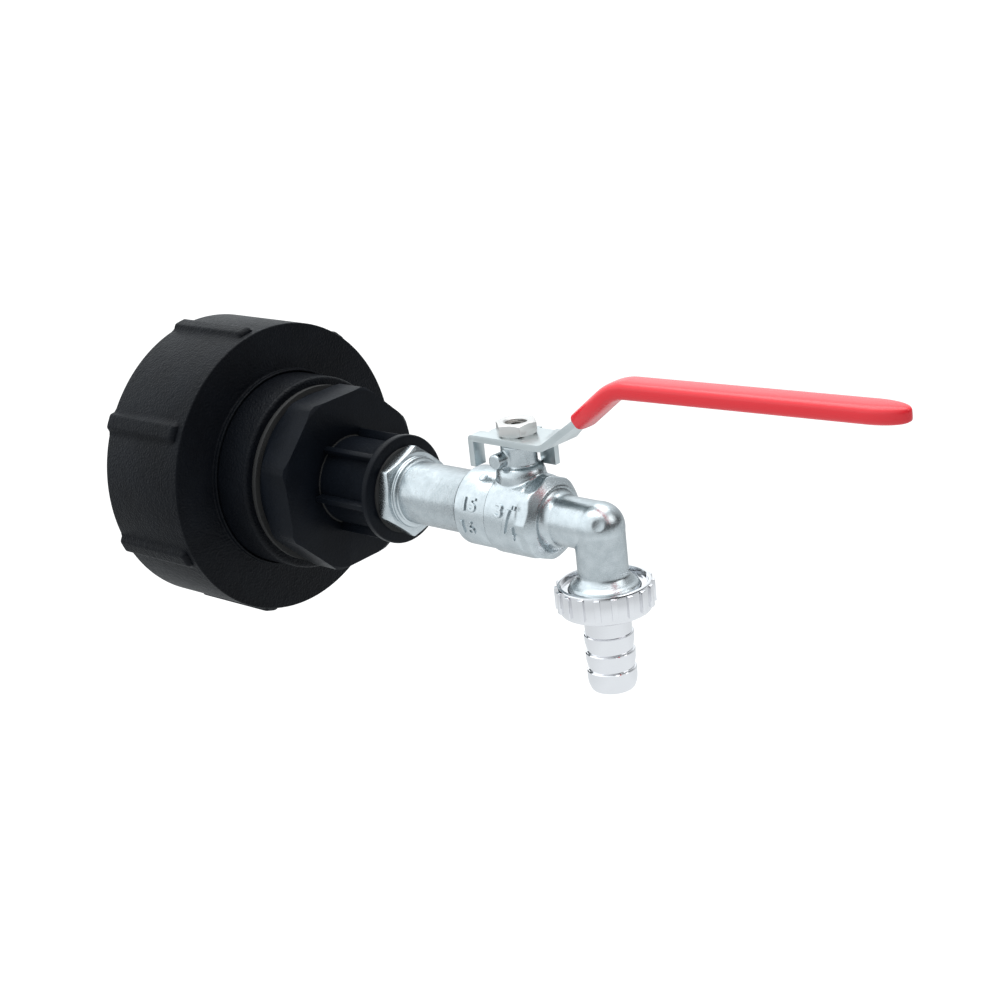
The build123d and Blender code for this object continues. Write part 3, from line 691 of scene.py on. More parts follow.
@dataclass
class NodeSheet:
    """A material's node tree with short calls to add to it."""

    material: bpy.types.Material

    def __post_init__(self) -> None:
        """Clears the tree down to a Principled shader and an output."""
        self.material.use_nodes = True
        self.tree = self.material.node_tree
        self.tree.nodes.clear()
        self.shader = self.add("ShaderNodeBsdfPrincipled")
        self.link(self.shader, "BSDF", self.add("ShaderNodeOutputMaterial"), "Surface")
        self.place = self.add("ShaderNodeTexCoord")

    def add(self, kind: str, **values: object) -> bpy.types.Node:
        """Adds a node and sets its properties and inputs.

        Args:
            kind: The node's type.
            values: Properties, or input values, by name with _ for a blank.

        Returns:
            The node.
        """
        node = self.tree.nodes.new(kind)
        for key, value in values.items():
            if hasattr(node, key):
                setattr(node, key, value)
            else:
                node.inputs[key.replace("_", " ")].default_value = value
        return node

    def link(self, source: bpy.types.Node, output: object, target: bpy.types.Node, entry: object) -> None:
        """Links one node's output to another node's input, each by name or number."""
        self.tree.links.new(source.outputs[output], target.inputs[entry])

    def hold(self, **values: object) -> None:
        """Sets inputs of the shader that are the same all over, by name with _ for a blank."""
        for key, value in values.items():
            self.shader.inputs[key.replace("_", " ")].default_value = value

    def noise(
        self, size: float, detail: float = 3.0, stretch: Triple = (1.0, 1.0, 1.0)
    ) -> bpy.types.Node:
        """Adds noise of a given grain size on the object's own coordinates.

        Args:
            size: Size of the grain, in metres.
            detail: Number of finer layers.
            stretch: Scale along each axis.

        Returns:
            The noise node.
        """
        mapping = self.add("ShaderNodeMapping")
        mapping.inputs["Scale"].default_value = stretch
        self.link(self.place, "Object", mapping, "Vector")
        noise = self.add("ShaderNodeTexNoise", Scale=1.0 / size, Detail=detail, Roughness=0.6)
        self.link(mapping, "Vector", noise, "Vector")
        return noise

    def pebbles(self, size: float) -> bpy.types.Node:
        """Adds a Voronoi pattern of small cells.

        Args:
            size: Size of a cell, in metres.

        Returns:
            The Voronoi node.
        """
        cells = self.add("ShaderNodeTexVoronoi", feature="SMOOTH_F1", Scale=1.0 / size, Smoothness=0.6)
        self.link(self.place, "Object", cells, "Vector")
        return cells

    def roughen(self, source: bpy.types.Node, low: float, high: float) -> None:
        """Varies the surface's roughness between two values.

        Args:
            source: Noise node.
            low: Roughness where the noise is 0.
            high: Roughness where it is 1.
        """
        span = self.add("ShaderNodeMapRange", To_Min=low, To_Max=high)
        self.link(source, "Fac", span, "Value")
        self.link(span, "Result", self.shader, "Roughness")

    def tint(self, source: bpy.types.Node, low: Colour, high: Colour) -> None:
        """Colours the surface between two colours.

        Args:
            source: Noise node.
            low: Colour at the low end.
            high: Colour at the high end.
        """
        ramp = self.add("ShaderNodeValToRGB")
        for stop, place, colour in zip(ramp.color_ramp.elements, TINT_SPAN, (low, high)):
            stop.position = place
            stop.color = (*colour, 1.0)
        self.link(source, "Fac", ramp, "Fac")
        self.link(ramp, "Color", self.shader, "Base Color")

    def relief(self, layers: Sequence[tuple[bpy.types.Node, object, float]]) -> None:
        """Stacks bump layers on the shader.

        Args:
            layers: Each layer's node, its output and its depth in metres.
        """
        before = None
        for source, output, depth in layers:
            bump = self.add("ShaderNodeBump", Strength=1.0, Distance=depth)
            self.link(source, output, bump, "Height")
            if before is not None:
                self.link(before, "Normal", bump, "Normal")
            before = bump
        self.link(before, "Normal", self.shader, "Normal")


@dataclass(frozen=True)
class Finish:
    """A surface finish that makes its material once."""

    name: str
    dark: Colour
    light: Colour
    rough_low: float
    rough_high: float

    def material(self) -> bpy.types.Material:
        """Returns the finish's material, made at the first call."""
        known = bpy.data.materials.get(self.name)
        if known is not None:
            return known
        sheet = NodeSheet(bpy.data.materials.new(self.name))
        self.paint(sheet)
        return sheet.material

    def paint(self, sheet: NodeSheet) -> None:
        """Builds the nodes on an empty material sheet."""
        raise NotImplementedError

    def wear(self, piece: bpy.types.Object) -> None:
        """Puts this finish on all of a piece."""
        piece.data.materials.clear()
        piece.data.materials.append(self.material())


@dataclass(frozen=True)
class MouldedPlastic(Finish):
    """Black moulded plastic with a pebbled grain and faint flow marks."""

    grain: float = 0.0008
    grain_depth: float = 0.00022
    dust_ratio: float = 2.5
    flow: float = 0.02
    flow_ratio: float = 2.0
    ior: float = 1.32
    gloss: float = 0.20

    def paint(self, sheet: NodeSheet) -> None:
        """Builds the nodes.

        Args:
            sheet: The empty material sheet.
        """
        flow = sheet.noise(self.flow, detail=4.0)
        cells = sheet.pebbles(self.grain)
        dust = sheet.noise(self.grain * self.dust_ratio, detail=5.0)
        sheet.tint(flow, self.dark, self.light)
        sheet.roughen(dust, self.rough_low, self.rough_high)
        sheet.hold(IOR=self.ior, Specular_IOR_Level=self.gloss)
        sheet.relief(
            [
                (flow, "Fac", self.grain_depth * self.flow_ratio),
                (dust, "Fac", self.grain_depth),
                (cells, "Distance", self.grain_depth),
            ]
        )


@dataclass(frozen=True)
class PlatedCasting(Finish):
    """Plated metal over a cast or drawn skin."""

    ripple: float = 0.0045
    ripple_depth: float = 0.00006
    grit: float = 0.0006
    grit_depth: float = 0.000006
    edge_shade: float = 0.5

    def paint(self, sheet: NodeSheet) -> None:
        """Builds the nodes.

        Args:
            sheet: The empty material sheet.
        """
        ripple = sheet.noise(self.ripple, detail=2.0)
        grit = sheet.noise(self.grit, detail=4.0)
        shade = self.edge_shade
        sheet.tint(ripple, self.dark, self.light)
        sheet.roughen(grit, self.rough_low, self.rough_high)
        sheet.hold(Metallic=1.0, Specular_Tint=(shade, shade, shade, 1.0))
        sheet.relief([(ripple, "Fac", self.ripple_depth), (grit, "Fac", self.grit_depth)])


@dataclass(frozen=True)
class RolledSteel(Finish):
    """Zinc-plated strip with faint lines along its length."""

    line: float = 0.0005
    line_depth: float = 0.000008
    line_stretch: Triple = (0.04, 1.0, 1.0)
    cloud: float = 0.012
    cloud_depth: float = 0.000048

    def paint(self, sheet: NodeSheet) -> None:
        """Builds the nodes.

        Args:
            sheet: The empty material sheet.
        """
        lines = sheet.noise(self.line, stretch=self.line_stretch)
        clouds = sheet.noise(self.cloud)
        sheet.tint(clouds, self.dark, self.light)
        sheet.roughen(lines, self.rough_low, self.rough_high)
        sheet.hold(Metallic=1.0)
        sheet.relief([(lines, "Fac", self.line_depth), (clouds, "Fac", self.cloud_depth)])


@dataclass(frozen=True)
class DippedVinyl(Finish):
    """Thick glossy vinyl, faintly uneven from dipping."""

    sag: float = 0.02
    sag_depth: float = 0.0002
    pore: float = 0.0008
    pore_depth: float = 0.000004
    ior: float = 1.33
    gloss: float = 0.32
    coat: float = 0.06
    coat_rough: float = 0.12
    bleed: float = 0.08
    bleed_radius: Triple = (0.004, 0.001, 0.001)
    bleed_scale: float = 0.2

    def paint(self, sheet: NodeSheet) -> None:
        """Builds the nodes.

        Args:
            sheet: The empty material sheet.
        """
        sag = sheet.noise(self.sag, detail=2.0)
        pores = sheet.noise(self.pore)
        sheet.tint(sag, self.dark, self.light)
        sheet.roughen(pores, self.rough_low, self.rough_high)
        sheet.hold(
            IOR=self.ior,
            Specular_IOR_Level=self.gloss,
            Coat_Weight=self.coat,
            Coat_Roughness=self.coat_rough,
            Subsurface_Weight=self.bleed,
            Subsurface_Radius=self.bleed_radius,
            Subsurface_Scale=self.bleed_scale,
        )
        sheet.relief([(sag, "Fac", self.sag_depth), (pores, "Fac", self.pore_depth)])


@dataclass(frozen=True)
class SoftRubber(Finish):
    """Matt moulded rubber or a smooth fluoropolymer."""

    dust: float = 0.0012
    dust_depth: float = 0.00003
    gloss: float = 0.15

    def paint(self, sheet: NodeSheet) -> None:
        """Builds the nodes.

        Args:
            sheet: The empty material sheet.
        """
        dust = sheet.noise(self.dust, detail=5.0)
        sheet.tint(dust, self.dark, self.light)
        sheet.roughen(dust, self.rough_low, self.rough_high)
        sheet.hold(Specular_IOR_Level=self.gloss)
        sheet.relief([(dust, "Fac", self.dust_depth)])


GRAINED_BLACK = MouldedPlastic(
    "grained_black", (0.0016, 0.0022, 0.0036), (0.0038, 0.0050, 0.0075), 0.34, 0.58
)
SMOOTH_BLACK = MouldedPlastic(
    "smooth_black",
    (0.0024, 0.0034, 0.0054),
    (0.0050, 0.0068, 0.0104),
    0.30,
    0.50,
    grain=0.0006,
    grain_depth=0.00006,
)
BLACK_RUBBER = SoftRubber("black_rubber", (0.0026, 0.0032, 0.0042), (0.0055, 0.0064, 0.0080), 0.55, 0.75)
WHITE_SEAT = SoftRubber("white_seat", (0.80, 0.80, 0.77), (0.88, 0.88, 0.85), 0.35, 0.45)
SATIN_NICKEL = PlatedCasting(
    "satin_nickel",
    (0.50, 0.55, 0.575),
    (0.60, 0.65, 0.675),
    0.20,
    0.32,
    ripple=0.004,
    ripple_depth=0.00004,
    grit=0.00045,
    grit_depth=0.00005,
    edge_shade=0.7,
)
BRIGHT_CHROME = PlatedCasting(
    "bright_chrome",
    (0.48, 0.51, 0.535),
    (0.56, 0.59, 0.615),
    0.06,
    0.13,
    ripple=0.008,
    ripple_depth=0.00002,
)
NUT_STEEL = PlatedCasting(
    "nut_steel",
    (0.18, 0.16, 0.145),
    (0.26, 0.23, 0.21),
    0.24,
    0.38,
    ripple=0.003,
    ripple_depth=0.00002,
)
PLATED_STEM = PlatedCasting(
    "plated_stem",
    (0.26, 0.25, 0.24),
    (0.34, 0.33, 0.31),
    0.22,
    0.34,
    ripple=0.003,
    ripple_depth=0.00002,
)
ZINC_STRIP = RolledSteel("zinc_strip", (0.52, 0.57, 0.58), (0.62, 0.67, 0.68), 0.24, 0.38)
RED_VINYL = DippedVinyl("red_vinyl", (0.52, 0.0016, 0.0022), (0.62, 0.003, 0.004), 0.28, 0.38)

SLOT_FINISHES: dict[str, Finish] = {
    "black_plastic": GRAINED_BLACK,
    "adapter_plastic": SMOOTH_BLACK,
    "black_rubber": BLACK_RUBBER,
    "nickel": SATIN_NICKEL,
    "bright_chrome": BRIGHT_CHROME,
    "zinc_steel": ZINC_STRIP,
    "nut_steel": NUT_STEEL,
    "red_vinyl": RED_VINYL,
    "white_seat": WHITE_SEAT,
    "stem_brass": PLATED_STEM,
}


def dress_solids() -> None:
    """Gives every carried-over solid the finish of its slot."""
    for part in frame["record"]["subparts"]:
        finish = SLOT_FINISHES[part["material_slot"]]
        finish.wear(frame["nodes"][part["node"]])
        LOG.info("solid %s wears %s", part["node"], finish.name)


# Pieces


def dress(
    piece: bpy.types.Object,
    finish: Finish,
    body: str,
    node: str,
    angle: float = 35.0,
) -> bpy.types.Object:
    """Shades and finishes a piece and ties it to the frame.

    Args:
        piece: The finished mesh.
        finish: Its surface.
        body: The moving body it rides on.
        node: The solid it stands for.
        angle: Angle past which its edges stay sharp, in degrees.

    Returns:
        The piece.
    """
    clean(piece)
    smooth(piece, angle)
    finish.wear(piece)
    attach(piece, body)
    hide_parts(node)
    LOG.info("%s: %d faces on body %s", piece.name, len(piece.data.polygons), body)
    return piece


@dataclass
class CouplingCap:
    """Black coupling cap with finger ribs, a raised lip and a coarse inner thread, in millimetres."""

    length: float = 44.5
    radius: float = 59.5
    edge: float = 1.1
    thread_crest: float = 47.5
    thread_root: float = 49.8
    thread_pitch: float = 6.0
    thread_foot: float = 0.30
    thread_flat: float = 0.12
    thread_lead: float = 0.8
    thread_root_sink: float = 0.3
    thread_bevel: float = 0.25
    thread_end: float = 28.0
    relief_end: float = 38.5
    hole: float = 39.7
    lip: float = 40.8
    lip_height: float = 1.8
    rib_count: int = 7
    rib_turn: float = 9.3
    rib_crown: float = 61.5
    rib_crown_width: float = 5.6
    rib_foot_width: float = 8.6
    rib_sink: float = 1.4
    rib_fillet: float = 1.1
    rib_start: float = 0.25
    rib_end: float = 41.3
    rib_round: float = 2.2
    rib_end_steps: int = 6
    rib_end_width: float = 0.82
    rib_end_height: float = 0.36

    def build(self) -> bpy.types.Object:
        """Models and dresses the cap.

        Returns:
            The cap.
        """
        ribs = ring_of_copies(self.rib(), self.rib_count, self.rib_turn)
        moulding = combine("coupling_cap_moulding", [self.shell(), *ribs, self.thread()])
        return dress(moulding, GRAINED_BLACK, "cap", "coupling_cap", angle=40.0)

    def shell(self) -> bpy.types.Object:
        """Turns the cap without its ribs.

        Returns:
            The shell with rounded edges.
        """
        profile = [
            (0.0, self.thread_root),
            (0.0, self.radius),
            (self.length, self.radius),
            (self.length, self.lip),
            (self.length + self.lip_height, self.lip),
            (self.length + self.lip_height, self.hole),
            (self.relief_end, self.hole),
            (self.relief_end, self.thread_root),
        ]
        shell = turned("cap_shell", profile, steps=192)
        round_edges(shell, self.edge, segments=4, angle=50.0)
        return shell

    def rib(self) -> bpy.types.Object:
        """Lofts one finger rib on top of the cap, with a filleted foot and a rounded end.

        Returns:
            The rib.
        """
        foot, crown = self.rib_foot_width / 2.0, self.rib_crown_width / 2.0
        base = self.radius - self.rib_sink
        half = [
            (foot + self.rib_fillet * 1.3, base),
            (foot + self.rib_fillet * 1.1, self.surface(foot + self.rib_fillet * 1.1)),
            (foot + self.rib_fillet * 0.35, self.surface(foot) + 0.10),
            (foot - self.rib_fillet * 0.25, self.surface(foot) + 0.42),
            (crown + 0.55, self.rib_crown - 0.85),
            (crown + 0.20, self.rib_crown - 0.38),
            (crown - 0.35, self.rib_crown - 0.10),
            (crown - 1.10, self.rib_crown),
        ]
        outline = [(side, up - base) for side, up in half]
        outline += [(-side, up) for side, up in reversed(outline)]
        straight = self.rib_end - self.rib_round
        stations = [(self.rib_start, base, 0.0, 1.0, 1.0), (straight, base, 0.0, 1.0, 1.0)]
        for step in range(1, self.rib_end_steps + 1):
            turn = math.radians(90.0 * step / self.rib_end_steps)
            along = straight + self.rib_round * math.sin(turn)
            wide = self.rib_end_width + (1.0 - self.rib_end_width) * math.cos(turn)
            tall = self.rib_end_height + (1.0 - self.rib_end_height) * math.cos(turn)
            stations.append((along, base, 0.0, wide, tall))
        return swept("cap_rib", outline, stations)

    def surface(self, side: float) -> float:
        """Gives the height of the cap's round side at a distance from a rib's middle, in millimetres."""
        return math.sqrt(self.radius**2 - side**2)

    def thread(self) -> bpy.types.Object:
        """Winds the coarse thread's ridge inside the mouth.

        Returns:
            The ridge.
        """
        half_foot, half_crest = self.thread_pitch * self.thread_foot, self.thread_pitch * self.thread_flat
        start = half_foot + self.thread_lead
        root, shoulder = self.thread_root + self.thread_root_sink, self.thread_crest + self.thread_bevel
        section = [
            (start - half_foot, root),
            (start - half_crest, shoulder),
            (start - half_crest * 0.6, self.thread_crest),
            (start + half_crest * 0.6, self.thread_crest),
            (start + half_crest, shoulder),
            (start + half_foot, root),
        ]
        turns = int((self.thread_end - start - half_foot) / self.thread_pitch)
        return wound("cap_thread", section, self.thread_pitch, turns)


@dataclass
class TankNozzle:
    """Flanged black nozzle that the cap pulls against the tank, in millimetres."""

    back: float = 33.3
    front: float = 62.6
    flange: float = 46.5
    flange_end: float = 38.3
    neck: float = 39.4
    lip_round: float = 1.5
    mouth: float = 34.0
    mouth_end: float = 39.3
    bore: float = 30.1
    bead: float = 0.7

    def build(self) -> bpy.types.Object:
        """Models and dresses the nozzle.

        Returns:
            The nozzle.
        """
        profile = [
            (self.back, self.mouth),
            (self.back, self.flange - self.bead),
            (self.back + self.bead, self.flange),
            (self.flange_end, self.flange),
            (self.flange_end, self.neck),
            *arc(self.front - self.lip_round, self.neck - self.lip_round, self.lip_round, 90.0, 0.0, 7),
            (self.front, self.bore + self.bead),
            (self.front - self.bead, self.bore),
            (self.mouth_end, self.bore),
        ]
        nozzle = turned("nozzle_moulding", profile, steps=160)
        return dress(nozzle, GRAINED_BLACK, "valve", "nozzle")


@dataclass
class OctagonAdapter:
    """Eight-sided black adapter with its round collar and hollow shank, in millimetres."""

    shank_back: float = 46.6
    shank: float = 29.95
    seal_end: float = 64.6
    collar: float = 34.0
    back: float = 67.9
    front: float = 82.0
    flats: float = 69.4
    corner: float = 37.0
    corner_turn: float = 24.5
    chamfer: float = 1.3
    edge: float = 0.8
    hollow: float = 24.0
    hollow_end: float = 61.9
    thread: float = 16.5
    ring_seat: float = 18.2
    ring_depth: float = 1.7

    def build(self) -> bpy.types.Object:
        """Models and dresses the adapter.

        Returns:
            The adapter.
        """
        plate = prism("adapter_plate", 8, self.flats, self.back, self.front, self.corner_turn)
        trim(plate, self.blank(), self.edge, segments=3, angle=25.0)
        adapter = combine("octagon_adapter_moulding", [plate, self.stub()])
        return dress(adapter, SMOOTH_BLACK, "valve", "octagon_adapter", angle=40.0)

    def blank(self) -> bpy.types.Object:
        """Turns the blank that gives the octagon its chamfers and its hole.

        Returns:
            The blank.
        """
        profile = [
            (self.back, self.thread),
            (self.back, self.corner - self.chamfer),
            (self.back + self.chamfer * 0.6, self.corner),
            (self.front - self.chamfer * 0.6, self.corner),
            (self.front, self.corner - self.chamfer),
            (self.front, self.ring_seat),
            (self.front - self.ring_depth, self.ring_seat),
            (self.front - self.ring_depth, self.thread),
        ]
        return turned("adapter_blank", profile, steps=160)

    def stub(self) -> bpy.types.Object:
        """Turns the collar and the hollow shank behind the octagon.

        Returns:
            The stub.
        """
        profile = [
            (self.shank_back, self.hollow),
            (self.shank_back, self.shank - 0.8),
            (self.shank_back + 0.8, self.shank),
            (self.seal_end, self.shank),
            (self.seal_end, self.collar - 0.5),
            (self.seal_end + 0.5, self.collar),
            (self.back - 0.6, self.collar),
            (self.back + 0.05, self.collar + 0.5),
            (self.back + 0.05, self.thread),
            (self.hollow_end, self.hollow),
        ]
        return turned("adapter_stub", profile, steps=144)


@dataclass
class RibbedBush:
    """Black bush with six ribs and a round flange, in millimetres."""

    back: float = 70.0
    shank: float = 16.35
    adapter_face: float = 82.0
    neck: float = 17.4
    neck_end: float = 110.0
    flange_back: float = 108.7
    flange_end: float = 112.2
    flange: float = 21.5
    flange_round: float = 0.9
    rib_count: int = 6
    rib_turn: float = 36.0
    rib_thickness: float = 2.4
    rib_top: float = 20.8
    rib_taper: float = 0.86
    rib_gap: float = 0.02
    rib_sink: float = 0.9
    rib_end: float = 108.8
    rib_edge: float = 0.4
    rib_bulge: float = 0.24
    waterway: float = 9.5
    waterway_end: float = 98.2
    thread: float = 13.4

    def build(self) -> bpy.types.Object:
        """Models and dresses the bush.

        Returns:
            The bush.
        """
        ribs = ring_of_copies(self.rib(), self.rib_count, self.rib_turn)
        bush = combine("ribbed_bush_moulding", [self.sleeve(), self.rim(), *ribs])
        return dress(bush, SMOOTH_BLACK, "valve", "ribbed_bush", angle=40.0)

    def sleeve(self) -> bpy.types.Object:
        """Turns the hollow sleeve.

        Returns:
            The sleeve.
        """
        profile = [
            (self.back, self.waterway),
            (self.back, self.shank - 0.6),
            (self.back + 0.6, self.shank),
            (self.adapter_face, self.shank),
            (self.adapter_face, self.neck),
            (self.neck_end - 1.2, self.neck),
            (self.neck_end - 0.35, self.neck + 0.35),
            (self.neck_end + 0.1, self.neck + 1.1),
            (self.neck_end + 0.1, self.thread),
            (self.waterway_end, self.thread),
            (self.waterway_end, self.waterway),
        ]
        return turned("bush_sleeve", profile)

    def rib(self) -> bpy.types.Object:
        """Models one rib on top of the sleeve, a little thinner at its crown.

        Returns:
            The rib.
        """
        half = self.rib_thickness / 2.0
        low = (self.adapter_face + self.rib_gap, -half, self.neck - self.rib_sink)
        high = (self.rib_end, half, self.rib_top)
        rib = box_between("bush_rib", low, high)
        with editing(rib):
            pick(rib, lambda spot: spot.z > (self.rib_top - PICK_SLACK) * MM)
            bpy.ops.transform.resize(value=(1.0, self.rib_taper, 1.0))
            pick(rib, lambda spot: spot.x > (self.rib_end - PICK_SLACK) * MM)
            bpy.ops.mesh.inset(thickness=self.rib_edge * MM)
            bpy.ops.transform.translate(value=(self.rib_bulge * MM, 0.0, 0.0))
        round_edges(rib, self.rib_edge, angle=25.0)
        return rib

    def rim(self) -> bpy.types.Object:
        """Turns the round flange with its soft edges.

        Returns:
            The flange.
        """
        back, front = self.flange_back + self.flange_round, self.flange_end - self.flange_round
        crown = self.flange - self.flange_round
        profile = [
            (self.flange_back, self.thread),
            *arc(back, crown, self.flange_round, 180.0, 90.0, 6),
            *arc(front, crown, self.flange_round, 90.0, 0.0, 6),
            (self.flange_end, self.thread),
        ]
        return turned("bush_flange", profile, steps=144)


@dataclass
class InletEnd:
    """Nickelled inlet end: hexagon, tube and the first half of the barrel, in millimetres."""

    thread_back: float = 100.7
    thread: float = 13.25
    hex_back: float = 113.2
    hex_front: float = 118.2
    hex_flats: float = 31.3
    hex_corner: float = 17.9
    hex_turn: float = 350.0
    hex_edge: float = 0.3
    collar: float = 13.9
    collar_end: float = 119.8
    tube: float = 12.2
    barrel_start: float = 151.5
    barrel: float = 15.2
    barrel_end: float = 167.5
    shoulder_round: float = 1.3
    socket: float = 12.75
    socket_back: float = 161.2
    seal_seat: float = 13.85
    seal_depth: float = 1.1
    nose: float = 9.6
    nose_end: float = 165.2
    bore_back: float = 7.8
    bore_front: float = 5.4
    mark_size: float = 5.4
    mark_rise: float = 0.8
    marks: tuple[tuple[str, float, float], ...] = (("15", 159.6, 69.5), ("16", 158.2, 104.0))
    stud: float = 1.8
    stud_length: float = 2.0
    stud_edge: float = 0.35
    stud_rise: float = 0.5
    stud_place: float = 161.1
    stud_turn: float = 24.5

    def build(self) -> bpy.types.Object:
        """Models and dresses the inlet end.

        Returns:
            The inlet end.
        """
        numerals = [self.mark(*mark) for mark in self.marks]
        casting = combine("inlet_casting", [self.spindle(), self.hexagon(), self.sprue(), *numerals])
        return dress(casting, SATIN_NICKEL, "valve", "inlet_end", angle=32.0)

    def spindle(self) -> bpy.types.Object:
        """Turns the thread core, the collar, the tube and the barrel half.

        Returns:
            The turned part.
        """
        profile = [
            (self.thread_back, self.bore_back),
            (self.thread_back, self.thread - 0.8),
            (self.thread_back + 0.8, self.thread),
            (self.hex_back + 0.4, self.thread),
            (self.hex_back + 0.4, self.collar - 0.9),
            (self.hex_front - 0.2, self.collar + 0.35),
            (self.hex_front + 0.35, self.collar),
            *arc(self.collar_end - 0.6, self.collar - 0.6, 0.6, 90.0, 15.0, 4),
            (self.collar_end, self.tube + 0.45),
            (self.collar_end + 0.45, self.tube),
            (self.barrel_start - 0.7, self.tube),
            (self.barrel_start - 0.2, self.tube + 0.2),
            (self.barrel_start, self.tube + 0.7),
            (self.barrel_start, self.barrel - self.shoulder_round),
            *arc(
                self.barrel_start + self.shoulder_round,
                self.barrel - self.shoulder_round,
                self.shoulder_round,
                165.0,
                90.0,
                6,
            ),
            (self.barrel_end - 0.35, self.barrel),
            (self.barrel_end - 0.08, self.barrel - 0.12),
            (self.barrel_end, self.barrel - 0.4),
            (self.barrel_end, self.seal_seat),
            (self.barrel_end - self.seal_depth, self.seal_seat),
            (self.barrel_end - self.seal_depth, self.socket),
            (self.socket_back, self.socket),
            (self.socket_back, self.nose),
            (self.nose_end, self.nose),
            (self.nose_end, self.bore_front),
            (self.socket_back, self.bore_front),
            (self.barrel_start - 2.0, self.bore_back),
        ]
        return turned("inlet_spindle", profile, steps=144)

    def hexagon(self) -> bpy.types.Object:
        """Models the wrench hexagon with chamfered corners.

        Returns:
            The hexagon.
        """
        plate = prism("inlet_hexagon", 6, self.hex_flats, self.hex_back, self.hex_front, self.hex_turn)
        flat = self.hex_flats / 2.0
        profile = [
            (self.hex_back, self.thread - 0.3),
            (self.hex_back, flat - 0.1),
            (self.hex_back + 0.75, self.hex_corner),
            (self.hex_front - 0.95, self.hex_corner),
            (self.hex_front, flat - 0.1),
            (self.hex_front, self.thread - 0.3),
        ]
        trim(plate, turned("hexagon_blank", profile), self.hex_edge, segments=3, angle=18.0)
        return plate

    def sprue(self) -> bpy.types.Object:
        """Models the low round stud on the barrel.

        Returns:
            The stud.
        """
        height = self.barrel + self.stud_rise - self.stud_length / 2.0
        lift = Matrix.Translation((self.stud_place * MM, 0.0, height * MM))
        place = turning(self.stud_turn, "X") @ lift
        return peg("inlet_stud", self.stud, self.stud_length, place, self.stud_edge, facets=48, segments=4)

    def mark(self, figure: str, along: float, turn: float) -> bpy.types.Object:
        """Raises a plain number on the barrel, at a place in millimetres and an angle from the top."""
        return raised_figure(figure, self.mark_size, along, turn, self.barrel, self.mark_rise)


